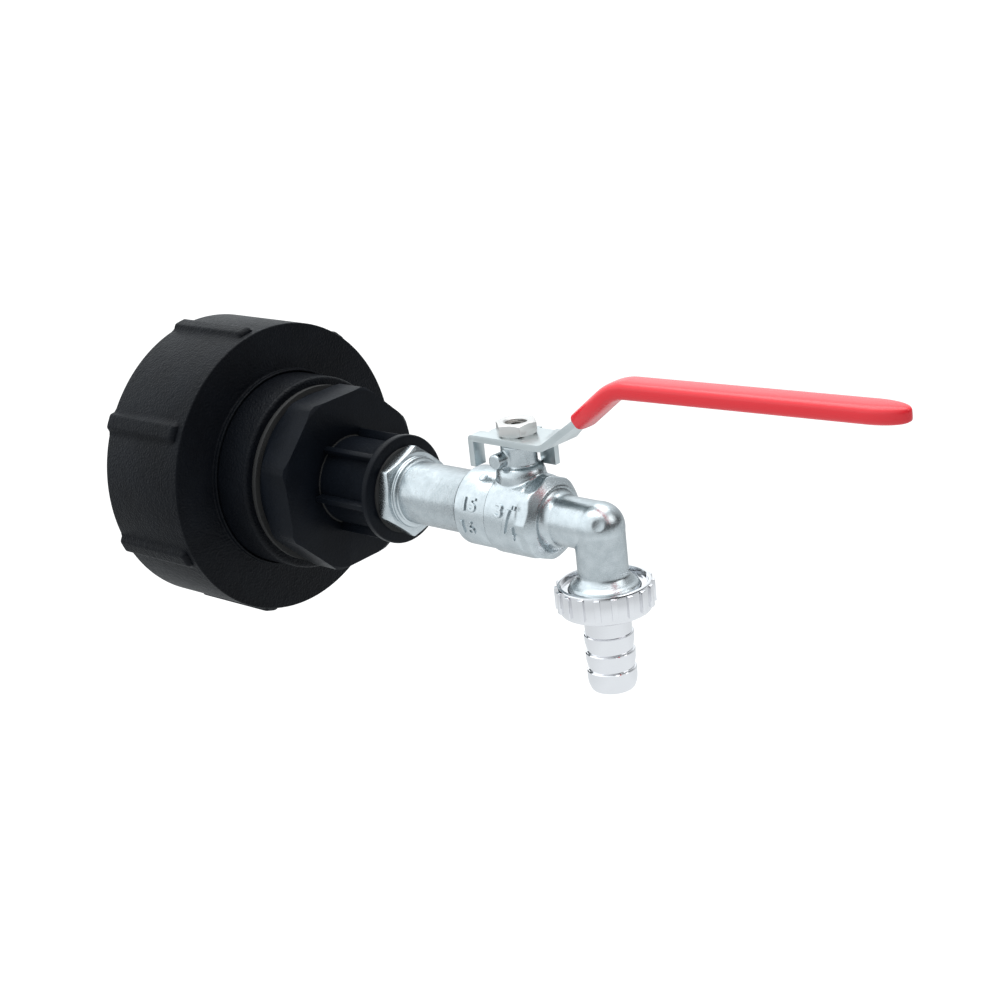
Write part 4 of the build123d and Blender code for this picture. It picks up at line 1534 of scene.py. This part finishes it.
@dataclass
class ValveBody:
    """Nickelled valve body: barrel half, stem boss, stop lug and bent spout, in millimetres."""

    stem: float = STEM_PLACE
    spout: float = SPOUT_PLACE
    seam: float = 167.5
    shank_back: float = 161.5
    shank: float = 12.6
    barrel: float = 15.9
    faces_start: float = 183.1
    faces_flats: float = 30.5
    barrel_end: float = 187.5
    shoulder_end: float = 190.7
    shoulder: float = 12.4
    boss: float = 6.7
    boss_top: float = 27.5
    boss_foot: float = 9.4
    boss_foot_top: float = 19.4
    boss_flare: float = 4.2
    boss_flare_turns: tuple[float, ...] = (20.0, 40.0, 60.0, 75.0, 90.0)
    boss_root: float = 2.0
    boss_edge: float = 0.4
    lug: float = 2.85
    lug_edge: float = 0.5
    lug_height: float = 22.6
    lug_offset: float = -2.45
    lug_reach: float = 11.3
    pipe: float = 9.35
    elbow: float = 9.5
    flare_top: float = -18.3
    flare_bottom: float = -21.8
    flare: float = 12.9
    thread: float = 13.2
    bottom: float = -25.0
    bore: float = 6.5
    stem_hole: float = 4.3
    chamber: float = 9.7
    chamber_reach: float = 9.4
    socket: float = 5.5
    socket_top: float = 12.4
    web: float = 0.42
    web_place: float = 0.82
    web_edge: float = 0.9
    dimple: float = 2.3
    dimple_ball: float = 8.0
    dimple_yaw: float = 308.5
    dimple_pitch: float = 22.0
    grain: float = 0.36
    smoothing: int = 6
    figure_rise: float = 0.9
    figures: tuple[tuple[str, float, float, float], ...] = (
        ("3", 5.4, 0.9, 70.0),
        ("/", 9.0, 4.2, 84.0),
        ("4", 5.4, 6.6, 98.5),
        ("'", 4.0, 7.0, 67.5),
        ("'", 4.0, 8.4, 68.0),
    )

    def build(self) -> bpy.types.Object:
        """Models and dresses the valve body.

        Returns:
            The valve body.
        """
        name = "valve_body_casting"
        casting = combine(name, [self.barrel_half(), self.neck(), self.stop_lug(), *self.spout_parts()])
        regrain(casting, self.grain, self.smoothing)
        for hollow in self.hollows():
            carve(casting, hollow, "DIFFERENCE")
        casting = combine(name, [casting, *[self.figure(*figure) for figure in self.figures]])
        return dress(casting, SATIN_NICKEL, "valve", "valve_body", angle=50.0)

    def barrel_half(self) -> bpy.types.Object:
        """Models the barrel with the wrench faces at its end.

        Returns:
            The barrel half.
        """
        profile = [
            (self.shank_back, 0.0),
            (self.shank_back, self.shank - 0.5),
            (self.shank_back + 0.5, self.shank),
            (self.seam, self.shank),
            (self.seam, self.barrel),
            (self.barrel_end, self.barrel),
            (self.shoulder_end, self.shoulder),
            (self.shoulder_end, 0.0),
        ]
        barrel = turned("body_barrel", profile, steps=160)
        back, reach = self.shank_back - CUT_MARGIN, self.barrel + 2.0 * CUT_MARGIN
        sleeve = [(back, 0.0), (back, reach), (self.faces_start, reach), (self.faces_start, 0.0)]
        low, high = self.faces_start - CUT_MARGIN / 2.0, self.shoulder_end + CUT_MARGIN
        faces = prism("body_faces", 8, self.faces_flats, low, high, turn=0.0)
        carve(faces, turned("body_sleeve", sleeve), "UNION")
        carve(barrel, faces, "INTERSECT")
        return barrel

    def neck(self) -> bpy.types.Object:
        """Turns the stem boss with its flared foot.

        Returns:
            The boss.
        """
        foot, flare = self.boss_foot - self.boss, self.boss_foot_top - self.boss_flare
        turns = [math.radians(turn) for turn in self.boss_flare_turns]
        profile = [
            (self.boss_root, 0.0),
            (self.boss_root, self.boss_foot),
            (flare, self.boss_foot),
            *[
                (flare + self.boss_flare * math.sin(turn), self.boss_foot - foot * (1.0 - math.cos(turn)))
                for turn in turns
            ],
            (self.boss_top - self.boss_edge, self.boss),
            (self.boss_top, self.boss - self.boss_edge),
            (self.boss_top, 0.0),
        ]
        boss = turned("body_boss", profile, TurnAxis.STEM, self.stem, steps=96)
        span = self.boss_foot + CUT_MARGIN
        low = (self.seam + 0.02, -span, 0.0)
        high = (self.stem + span, span, self.boss_top + CUT_MARGIN)
        carve(boss, box_between("boss_keeper", low, high), "INTERSECT")
        return boss

    def stop_lug(self) -> bpy.types.Object:
        """Models the round lug that stops the lever.

        Returns:
            The lug.
        """
        middle = Vector((self.stem + self.lug_offset, -self.lug_reach / 2.0, self.lug_height))
        place = Matrix.Translation(middle * MM) @ turning(90.0, "X")
        return peg("body_lug", self.lug, self.lug_reach, place, self.lug_edge, facets=64, segments=3)

    def spout_parts(self) -> list[bpy.types.Object]:
        """Models the level pipe, the elbow and the drop with its flare.

        Returns:
            The parts of the spout.
        """
        level = turned(
            "spout_level",
            [
                (self.barrel_end - 2.0, 0.0),
                (self.barrel_end - 2.0, self.shoulder - 0.6),
                (self.shoulder_end - 0.2, self.shoulder - 0.6),
                (self.shoulder_end + 0.5, self.pipe + 1.3),
                (self.shoulder_end + 1.4, self.pipe + 0.45),
                (self.shoulder_end + 2.6, self.pipe),
                (self.spout, self.pipe),
                (self.spout, 0.0),
            ],
            steps=96,
        )
        bend = ball("spout_elbow", self.elbow, Vector((self.spout, 0.0, 0.0)), facets=96)
        carve(bend, self.dent(), "DIFFERENCE")
        drop = turned(
            "spout_drop",
            [
                (0.0, 0.0),
                (0.0, self.pipe),
                (self.flare_top + 1.0, self.pipe),
                (self.flare_top, self.pipe + 0.2),
                (self.flare_bottom + 1.4, self.flare - 1.5),
                (self.flare_bottom + 0.5, self.flare - 0.3),
                (self.flare_bottom, self.flare),
                (self.flare_bottom - 0.4, self.thread),
                (self.bottom, self.thread),
                (self.bottom, 0.0),
            ],
            TurnAxis.STEM,
            self.spout,
            steps=96,
        )
        return [level, bend, drop, self.crotch()]

    def dent(self) -> bpy.types.Object:
        """Models the round tool that presses a shallow bowl into the elbow.

        Returns:
            The tool.
        """
        yaw, pitch = math.radians(self.dimple_yaw), math.radians(self.dimple_pitch)
        out = Vector((math.cos(yaw) * math.cos(pitch), math.sin(yaw) * math.cos(pitch), math.sin(pitch)))
        rise = math.sqrt(self.dimple_ball**2 - self.dimple**2)
        reach = math.sqrt(self.elbow**2 - self.dimple**2) + rise
        return ball("elbow_dent", self.dimple_ball, Vector((self.spout, 0.0, 0.0)) + out * reach, facets=64)

    def crotch(self) -> bpy.types.Object:
        """Models the web that softens the inner corner of the bend.

        Returns:
            The web.
        """
        half, inset = self.pipe * self.web, self.pipe * self.web_place
        web = box_between("spout_web", (-half, -half, -half), (half, half, half))
        middle = Matrix.Translation(((self.spout - inset) * MM, 0.0, -inset * MM))
        web.matrix_world = middle @ turning(45.0, "Y")
        settle(web)
        round_edges(web, half * self.web_edge, segments=5)
        return web

    def hollows(self) -> list[bpy.types.Object]:
        """Turns the tools for the bores, the ball's chamber and the stem hole.

        Returns:
            The tools.
        """
        back, end = self.shank_back - CUT_MARGIN, self.stem + self.chamber_reach
        low, top = self.bottom - CUT_MARGIN, self.boss_top + CUT_MARGIN
        through = [
            (back, 0.0),
            (back, self.chamber),
            (end, self.chamber),
            (end, self.bore),
            (self.spout, self.bore),
            (self.spout, 0.0),
        ]
        down = [(low, 0.0), (low, self.bore), (0.0, self.bore), (0.0, 0.0)]
        stem = [
            (0.0, 0.0),
            (0.0, self.socket),
            (self.socket_top, self.socket),
            (self.socket_top, self.stem_hole),
            (top, self.stem_hole),
            (top, 0.0),
        ]
        return [
            turned("hollow_through", through, steps=96),
            turned("hollow_down", down, TurnAxis.STEM, self.spout, steps=64),
            turned("hollow_stem", stem, TurnAxis.STEM, self.stem, steps=64),
        ]

    def figure(self, text: str, size: float, offset: float, turn: float) -> bpy.types.Object:
        """Raises a plain figure of a size on the barrel, past the stem and at an angle from the top."""
        return raised_figure(text, size, self.stem + offset, turn, self.barrel, self.figure_rise)


@dataclass
class StemNut:
    """Six-sided nut on the stem's end, in millimetres."""

    stem: float = STEM_PLACE
    low: float = 31.2
    high: float = 35.8
    flats: float = 14.0
    corner: float = 7.8
    turn: float = 19.8
    bore: float = 4.15
    crown: float = 0.55
    edge: float = 0.22

    def build(self) -> bpy.types.Object:
        """Models and dresses the nut.

        Returns:
            The nut.
        """
        plate = prism(
            "stem_nut_forging", 6, self.flats, self.low, self.high, self.turn, TurnAxis.STEM, self.stem
        )
        flat = self.flats / 2.0
        profile = [
            (self.low, self.bore),
            (self.low, flat + 0.2),
            (self.low + self.crown, self.corner + 0.3),
            (self.high - self.crown, self.corner + 0.3),
            (self.high, flat - 0.15),
            (self.high, self.bore + 0.6),
            (self.high - 0.6, self.bore),
        ]
        blank = turned("nut_blank", profile, TurnAxis.STEM, self.stem, steps=96)
        trim(plate, blank, self.edge, segments=2, angle=20.0)
        return dress(plate, NUT_STEEL, "lever", "stem_nut", angle=32.0)


@dataclass
class UnionNut:
    """Chromed union nut with finger ribs, in millimetres."""

    spout: float = SPOUT_PLACE
    low: float = -32.0
    high: float = -20.7
    radius: float = 17.4
    mouth: float = 15.9
    bore: float = 13.5
    floor: float = -29.3
    neck_hole: float = 9.0
    rib_count: int = 18
    rib_radius: float = 18.4
    rib_width: float = 2.3
    rib_sink: float = 0.9
    rib_taper: float = 0.94
    rib_low: float = -30.0
    rib_high: float = -21.3
    edge: float = 0.18

    def build(self) -> bpy.types.Object:
        """Models and dresses the nut.

        Returns:
            The nut.
        """
        ribs = ring_of_copies(self.rib(), self.rib_count, 0.0, TurnAxis.STEM, self.spout)
        nut = combine("union_nut_casting", [self.ring(), *ribs])
        return dress(nut, BRIGHT_CHROME, "union_nut", "union_nut", angle=32.0)

    def ring(self) -> bpy.types.Object:
        """Turns the ring with its mouth and its floor.

        Returns:
            The ring.
        """
        profile = [
            (self.low, self.neck_hole),
            (self.low, self.radius - 1.6),
            (self.low + 0.5, self.radius - 0.7),
            (self.low + 1.3, self.radius - 0.2),
            (self.low + 2.2, self.radius),
            (self.high - 0.7, self.radius),
            (self.high - 0.2, self.radius - 0.2),
            (self.high, self.radius - 0.7),
            (self.high, self.mouth + 0.3),
            (self.high - 0.3, self.mouth),
            (self.high - 2.0, self.mouth - 0.15),
            (self.high - 2.3, self.bore),
            (self.floor, self.bore),
            (self.floor, self.neck_hole),
        ]
        return turned("union_ring", profile, TurnAxis.STEM, self.spout, steps=144)

    def rib(self) -> bpy.types.Object:
        """Models one finger rib on the nut's +X side.

        Returns:
            The rib.
        """
        half = self.rib_width / 2.0
        low = (self.spout + self.radius - self.rib_sink, -half, self.rib_low)
        high = (self.spout + self.rib_radius, half, self.rib_high)
        rib = box_between("union_rib", low, high)
        with editing(rib):
            pick(rib, lambda spot: spot.x > (self.spout + self.rib_radius - PICK_SLACK) * MM)
            bpy.ops.transform.resize(value=(1.0, self.rib_taper, self.rib_taper))
        round_edges(rib, self.edge, angle=25.0)
        return rib


@dataclass
class HoseTail:
    """Chromed hose tail with its barbs, in millimetres."""

    spout: float = SPOUT_PLACE
    flange: float = 12.4
    top: float = -27.0
    flange_low: float = -29.3
    collar: float = 8.7
    bore: float = 6.5
    tooth: float = 9.25
    tooth_foot: float = 8.4
    tooth_tops: Pair = (-40.4, -47.45)
    land: float = 9.2
    land_top: float = -54.5
    land_low: float = -57.5
    bottom: float = -62.7
    end_round: float = 1.4

    def build(self) -> bpy.types.Object:
        """Models and dresses the tail.

        Returns:
            The tail.
        """
        profile = [(self.top, self.bore), (self.top, self.flange), (self.flange_low, self.flange)]
        profile += [(self.flange_low, self.collar), (self.tooth_tops[0] + 0.2, self.collar)]
        ends = [*self.tooth_tops[1:], self.land_top]
        for top, low in zip(self.tooth_tops, ends):
            profile += self.barb(top, low)
        profile += [
            (self.land_top + 0.15, self.tooth_foot),
            (self.land_top, self.tooth_foot + 0.2),
            (self.land_top - 0.05, self.land - 0.25),
            (self.land_top - 0.3, self.land),
            (self.land_low, self.land),
        ]
        run = (self.land_low - self.bottom) * 0.5
        profile += [
            (self.land_low - run * 0.5, self.land - 0.08),
            (self.land_low - run, self.land - 0.3),
            (self.bottom + self.end_round, self.land - 0.75),
            (self.bottom + self.end_round * 0.55, self.land - 1.0),
            (self.bottom + self.end_round * 0.2, self.land - 1.45),
            (self.bottom, self.land - 2.0),
            (self.bottom, self.bore),
        ]
        tail = turned("hose_tail_turning", profile, TurnAxis.STEM, self.spout)
        return dress(tail, BRIGHT_CHROME, "hose_tail", "hose_tail", angle=28.0)

    def barb(self, top: float, low: float) -> list[Pair]:
        """Gives the section of one barb.

        Args:
            top: Height of its sharp shoulder, in millimetres.
            low: Height at which the next one starts, in millimetres.

        Returns:
            The points of its section.
        """
        return [
            (top + 0.15, self.tooth_foot),
            (top, self.tooth_foot + 0.2),
            (top - 0.05, self.tooth - 0.3),
            (top - 0.35, self.tooth),
            (top - 0.35 - (top - low) * 0.45, self.tooth - 0.12),
            (low + 0.15, self.tooth_foot),
        ]


@dataclass
class Lever:
    """Bent strip lever with its stop legs, reworked from its solid, in millimetres."""

    edge: float = 0.35
    flat_angle: float = 4.0

    def build(self) -> bpy.types.Object:
        """Models and dresses the lever."""
        lever = reworked("lever_strip", "lever", self.flat_angle, self.edge)
        return dress(lever, ZINC_STRIP, "lever", "lever", angle=30.0)


@dataclass
class Grip:
    """Red dipped grip along the lever's arm, in millimetres."""

    width: float = 12.0
    thickness: float = 6.9
    bend_x: float = 50.0
    bend_z: float = 53.9
    bend_radius: float = 18.0
    bend_steps: int = 10
    rise: float = 38.5
    slope: float = 1.8
    stem: float = STEM_PLACE
    start_run: float = 22.6
    mouth_steps: tuple[Pair, ...] = ((0.0, 0.80), (0.25, 0.93), (0.9, 1.0))
    tip_x: float = 165.7
    tip_length: float = 14.0
    tip_steps: int = 12
    tip_width: float = 0.06
    tip_thickness: float = 0.25
    tip_fullness: float = 0.35
    squareness: float = 3.4
    sides: int = 40

    def build(self) -> bpy.types.Object:
        """Models and dresses the grip."""
        grip = swept("grip_vinyl", self.outline(), self.stations())
        return dress(grip, RED_VINYL, "lever", "grip", angle=50.0)

    def outline(self) -> list[Pair]:
        """Gives the rounded outline across the grip.

        Returns:
            The outline as (side, up) pairs.
        """
        wide, tall, power = self.width / 2.0, self.thickness / 2.0, 2.0 / self.squareness
        points = []
        for index in range(self.sides):
            turn = FULL_TURN * index / self.sides
            side, up = math.cos(turn), math.sin(turn)
            across = wide * math.copysign(abs(side) ** power, side)
            points.append((across, tall * math.copysign(abs(up) ** power, up)))
        return points

    def stations(self) -> list[Station]:
        """Gives the sections from the open end, round the bend, to the tip.

        Returns:
            The sections for swept.
        """
        rise, slope = math.radians(self.rise), math.radians(self.slope)
        corner = Vector((self.stem + self.bend_x, self.bend_z))
        reach = self.bend_radius * math.tan((rise - slope) / 2.0)
        low = Vector((math.cos(rise), math.sin(rise)))
        high = Vector((math.cos(slope), math.sin(slope)))
        begin = corner - low * reach
        sections = []
        for inset, scale in self.mouth_steps:
            spot = begin - low * (self.start_run - inset - reach)
            sections.append((spot.x, spot.y, self.rise, scale, scale))
        centre = begin + Vector((low.y, -low.x)) * self.bend_radius
        for index in range(self.bend_steps + 1):
            turn = rise + (slope - rise) * index / self.bend_steps
            spot = centre + Vector((-math.sin(turn), math.cos(turn))) * self.bend_radius
            sections.append((spot.x, spot.y, math.degrees(turn), 1.0, 1.0))
        tip = self.stem + self.tip_x
        finish = corner + high * ((tip - self.tip_length - corner.x) / high.x)
        middle = (corner + high * reach + finish) / 2.0
        sections.append((middle.x, middle.y, self.slope, 1.0, 1.0))
        for index in range(self.tip_steps + 1):
            turn = math.radians(90.0 * index / self.tip_steps)
            spot = finish + high * (self.tip_length / high.x * math.sin(turn))
            wide = max(math.cos(turn), self.tip_width)
            tall = max(math.cos(turn) ** self.tip_fullness, self.tip_thickness)
            sections.append((spot.x, spot.y, self.slope, wide, tall))
        return sections


# Studio


@dataclass(frozen=True)
class Lamp:
    """One square soft light."""

    name: str
    place: Triple
    target: Triple
    size: float
    power: float


@dataclass
class Studio:
    """Pale floor, soft lights and the camera at the photograph's angle."""

    camera_place: Triple = (0.6529, -0.5118, 0.2422)
    camera_right: Triple = (0.74126, 0.66331, -0.10269)
    camera_forward: Triple = (-0.6562, 0.68398, -0.3187)
    lens: float = 72.0
    sensor: float = 36.0
    shift: Pair = (0.0009, -0.0017)
    clip: Pair = (0.01, 50.0)
    floor_middle: Pair = (0.15, 0.0)
    floor_drop: float = 0.12
    floor_size: float = 12.0
    floor_colour: Colour = (0.06, 0.06, 0.06)
    floor_roughness: float = 0.8
    white: tuple[float, float, float, float] = (1.0, 1.0, 1.0, 1.0)
    table_glow: tuple[Pair, ...] = ((0.20, 0.86), (0.55, 0.64), (0.78, 0.62), (1.0, 0.62))
    table_middle: Pair = (0.19, -0.05)
    studio_tint: Colour = (0.93, 0.975, 1.0)
    backdrop: Triple = (-0.80, -0.20, 0.56)
    sky_strength: float = 1.6
    sky: tuple[Pair, ...] = (
        (0.0, 0.03),
        (0.28, 0.06),
        (0.40, 0.26),
        (0.58, 0.66),
        (0.78, 0.82),
        (0.95, 1.0),
    )
    lamps: tuple[Lamp, ...] = (
        Lamp("top_light", (0.05, 0.15, 1.1), (0.12, 0.0, 0.0), 1.3, 12.0),
        Lamp("right_light", (0.95, 0.35, 0.55), (0.15, 0.0, 0.0), 0.5, 1.5),
    )

    def build(self) -> None:
        """Sets up camera, floor, lights and world."""
        self.add_camera()
        self.add_floor()
        self.add_lights()
        self.set_world()
        LOG.info("studio ready")

    def add_camera(self) -> None:
        """Adds the camera and makes it the scene's."""
        forward = Vector(self.camera_forward).normalized()
        right = Vector(self.camera_right)
        right = (right - forward * right.dot(forward)).normalized()
        up = right.cross(forward)
        turn = Matrix((right, up, -forward)).transposed().to_4x4()
        rest()
        bpy.ops.object.camera_add()
        camera = bpy.context.object
        camera.name = "camera"
        camera.matrix_world = Matrix.Translation(self.camera_place) @ turn
        camera.data.sensor_width = self.sensor
        camera.data.lens = self.lens
        camera.data.shift_x, camera.data.shift_y = self.shift
        camera.data.clip_start, camera.data.clip_end = self.clip
        bpy.context.scene.camera = camera

    def add_floor(self) -> None:
        """Adds the pale floor under the valve."""
        low = CAD_BOX[0]
        rest()
        place = (*self.floor_middle, low[2] - self.floor_drop)
        bpy.ops.mesh.primitive_plane_add(size=self.floor_size, location=place)
        floor = named("floor")
        floor.data.materials.append(self.table())

    def table(self) -> bpy.types.Material:
        """Makes the table: white to the camera, and in reflections brightest under the valve.

        Returns:
            The floor's material.
        """
        sheet = NodeSheet(bpy.data.materials.new("pale_floor"))
        sheet.hold(Base_Color=(*self.floor_colour, 1.0), Roughness=self.floor_roughness)
        sheet.hold(Emission_Strength=1.0)
        along, across = self.table_middle
        flat = sheet.add("ShaderNodeMapping")
        flat.inputs["Location"].default_value = (-along, -across, 0.0)
        flat.inputs["Scale"].default_value = (1.0, 1.0, 0.0)
        sheet.link(sheet.place, "Object", flat, "Vector")
        reach = sheet.add("ShaderNodeVectorMath", operation="LENGTH")
        sheet.link(flat, "Vector", reach, 0)
        glow = sheet.add("ShaderNodeValToRGB")
        sheet.link(reach, "Value", glow, "Fac")
        self.shade(glow.color_ramp, self.table_glow)
        self.split_rays(sheet.tree, glow, sheet.shader.inputs["Emission Color"])
        return sheet.material

    def split_rays(
        self, tree: bpy.types.NodeTree, shaded: bpy.types.Node, entry: bpy.types.NodeSocket
    ) -> None:
        """Shows the camera plain white, and every other ray a shaded colour.

        Args:
            tree: The node tree.
            shaded: Node whose Color the other rays get.
            entry: Input that takes the result.
        """
        path, seen = tree.nodes.new("ShaderNodeLightPath"), tree.nodes.new("ShaderNodeMix")
        seen.data_type = "RGBA"
        seen.inputs[MIX_SECOND].default_value = self.white
        tree.links.new(path.outputs["Is Camera Ray"], seen.inputs["Factor"])
        tree.links.new(shaded.outputs["Color"], seen.inputs[MIX_FIRST])
        tree.links.new(seen.outputs[MIX_RESULT], entry)

    def add_lights(self) -> None:
        """Adds the soft lights."""
        for lamp in self.lamps:
            rest()
            bpy.ops.object.light_add(type="AREA", location=lamp.place)
            light = bpy.context.object
            light.name = lamp.name
            light.data.shape = "SQUARE"
            light.data.size = lamp.size
            light.data.energy = lamp.power
            aim = Vector(lamp.target) - Vector(lamp.place)
            light.rotation_euler = aim.to_track_quat("-Z", "Y").to_euler()

    def set_world(self) -> None:
        """Sets a surround that reflects bright on the left and above, and dim on the right."""
        world = bpy.data.worlds.new("studio_world")
        world.use_nodes = True
        tree = world.node_tree
        place, facing, span, ramp = (
            tree.nodes.new(f"ShaderNode{kind}") for kind in ("TexCoord", "VectorMath", "MapRange", "ValToRGB")
        )
        facing.operation = "DOT_PRODUCT"
        facing.inputs[1].default_value = Vector(self.backdrop).normalized()
        span.inputs["From Min"].default_value = -1.0
        tree.links.new(place.outputs["Generated"], facing.inputs[0])
        tree.links.new(facing.outputs["Value"], span.inputs["Value"])
        tree.links.new(span.outputs["Result"], ramp.inputs["Fac"])
        self.shade(ramp.color_ramp, self.sky)
        background = tree.nodes["Background"]
        background.inputs["Strength"].default_value = self.sky_strength
        self.split_rays(tree, ramp, background.inputs["Color"])
        bpy.context.scene.world = world

    def shade(self, ramp: bpy.types.ColorRamp, stops: Sequence[Pair]) -> None:
        """Sets a ramp's stops in the studio's tint.

        Args:
            ramp: The ramp.
            stops: (place, brightness) of each stop.
        """
        for index, (place, bright) in enumerate(stops):
            stop = ramp.elements[index] if index < 2 else ramp.elements.new(place)
            stop.position = place
            stop.color = (*(bright * channel for channel in self.studio_tint), 1.0)


ASSEMBLY = (
    CouplingCap,
    TankNozzle,
    OctagonAdapter,
    RibbedBush,
    InletEnd,
    ValveBody,
    Lever,
    Grip,
    StemNut,
    UnionNut,
    HoseTail,
)


def main() -> None:
    """Builds the pieces in order and reports each one."""
    logging.basicConfig(level=logging.INFO, format="%(name)s: %(message)s")
    bpy.context.scene.view_settings.view_transform = "Standard"
    dress_solids()
    for kind in ASSEMBLY:
        kind().build()
    Studio().build()


if __name__ == "__main__":
    main()
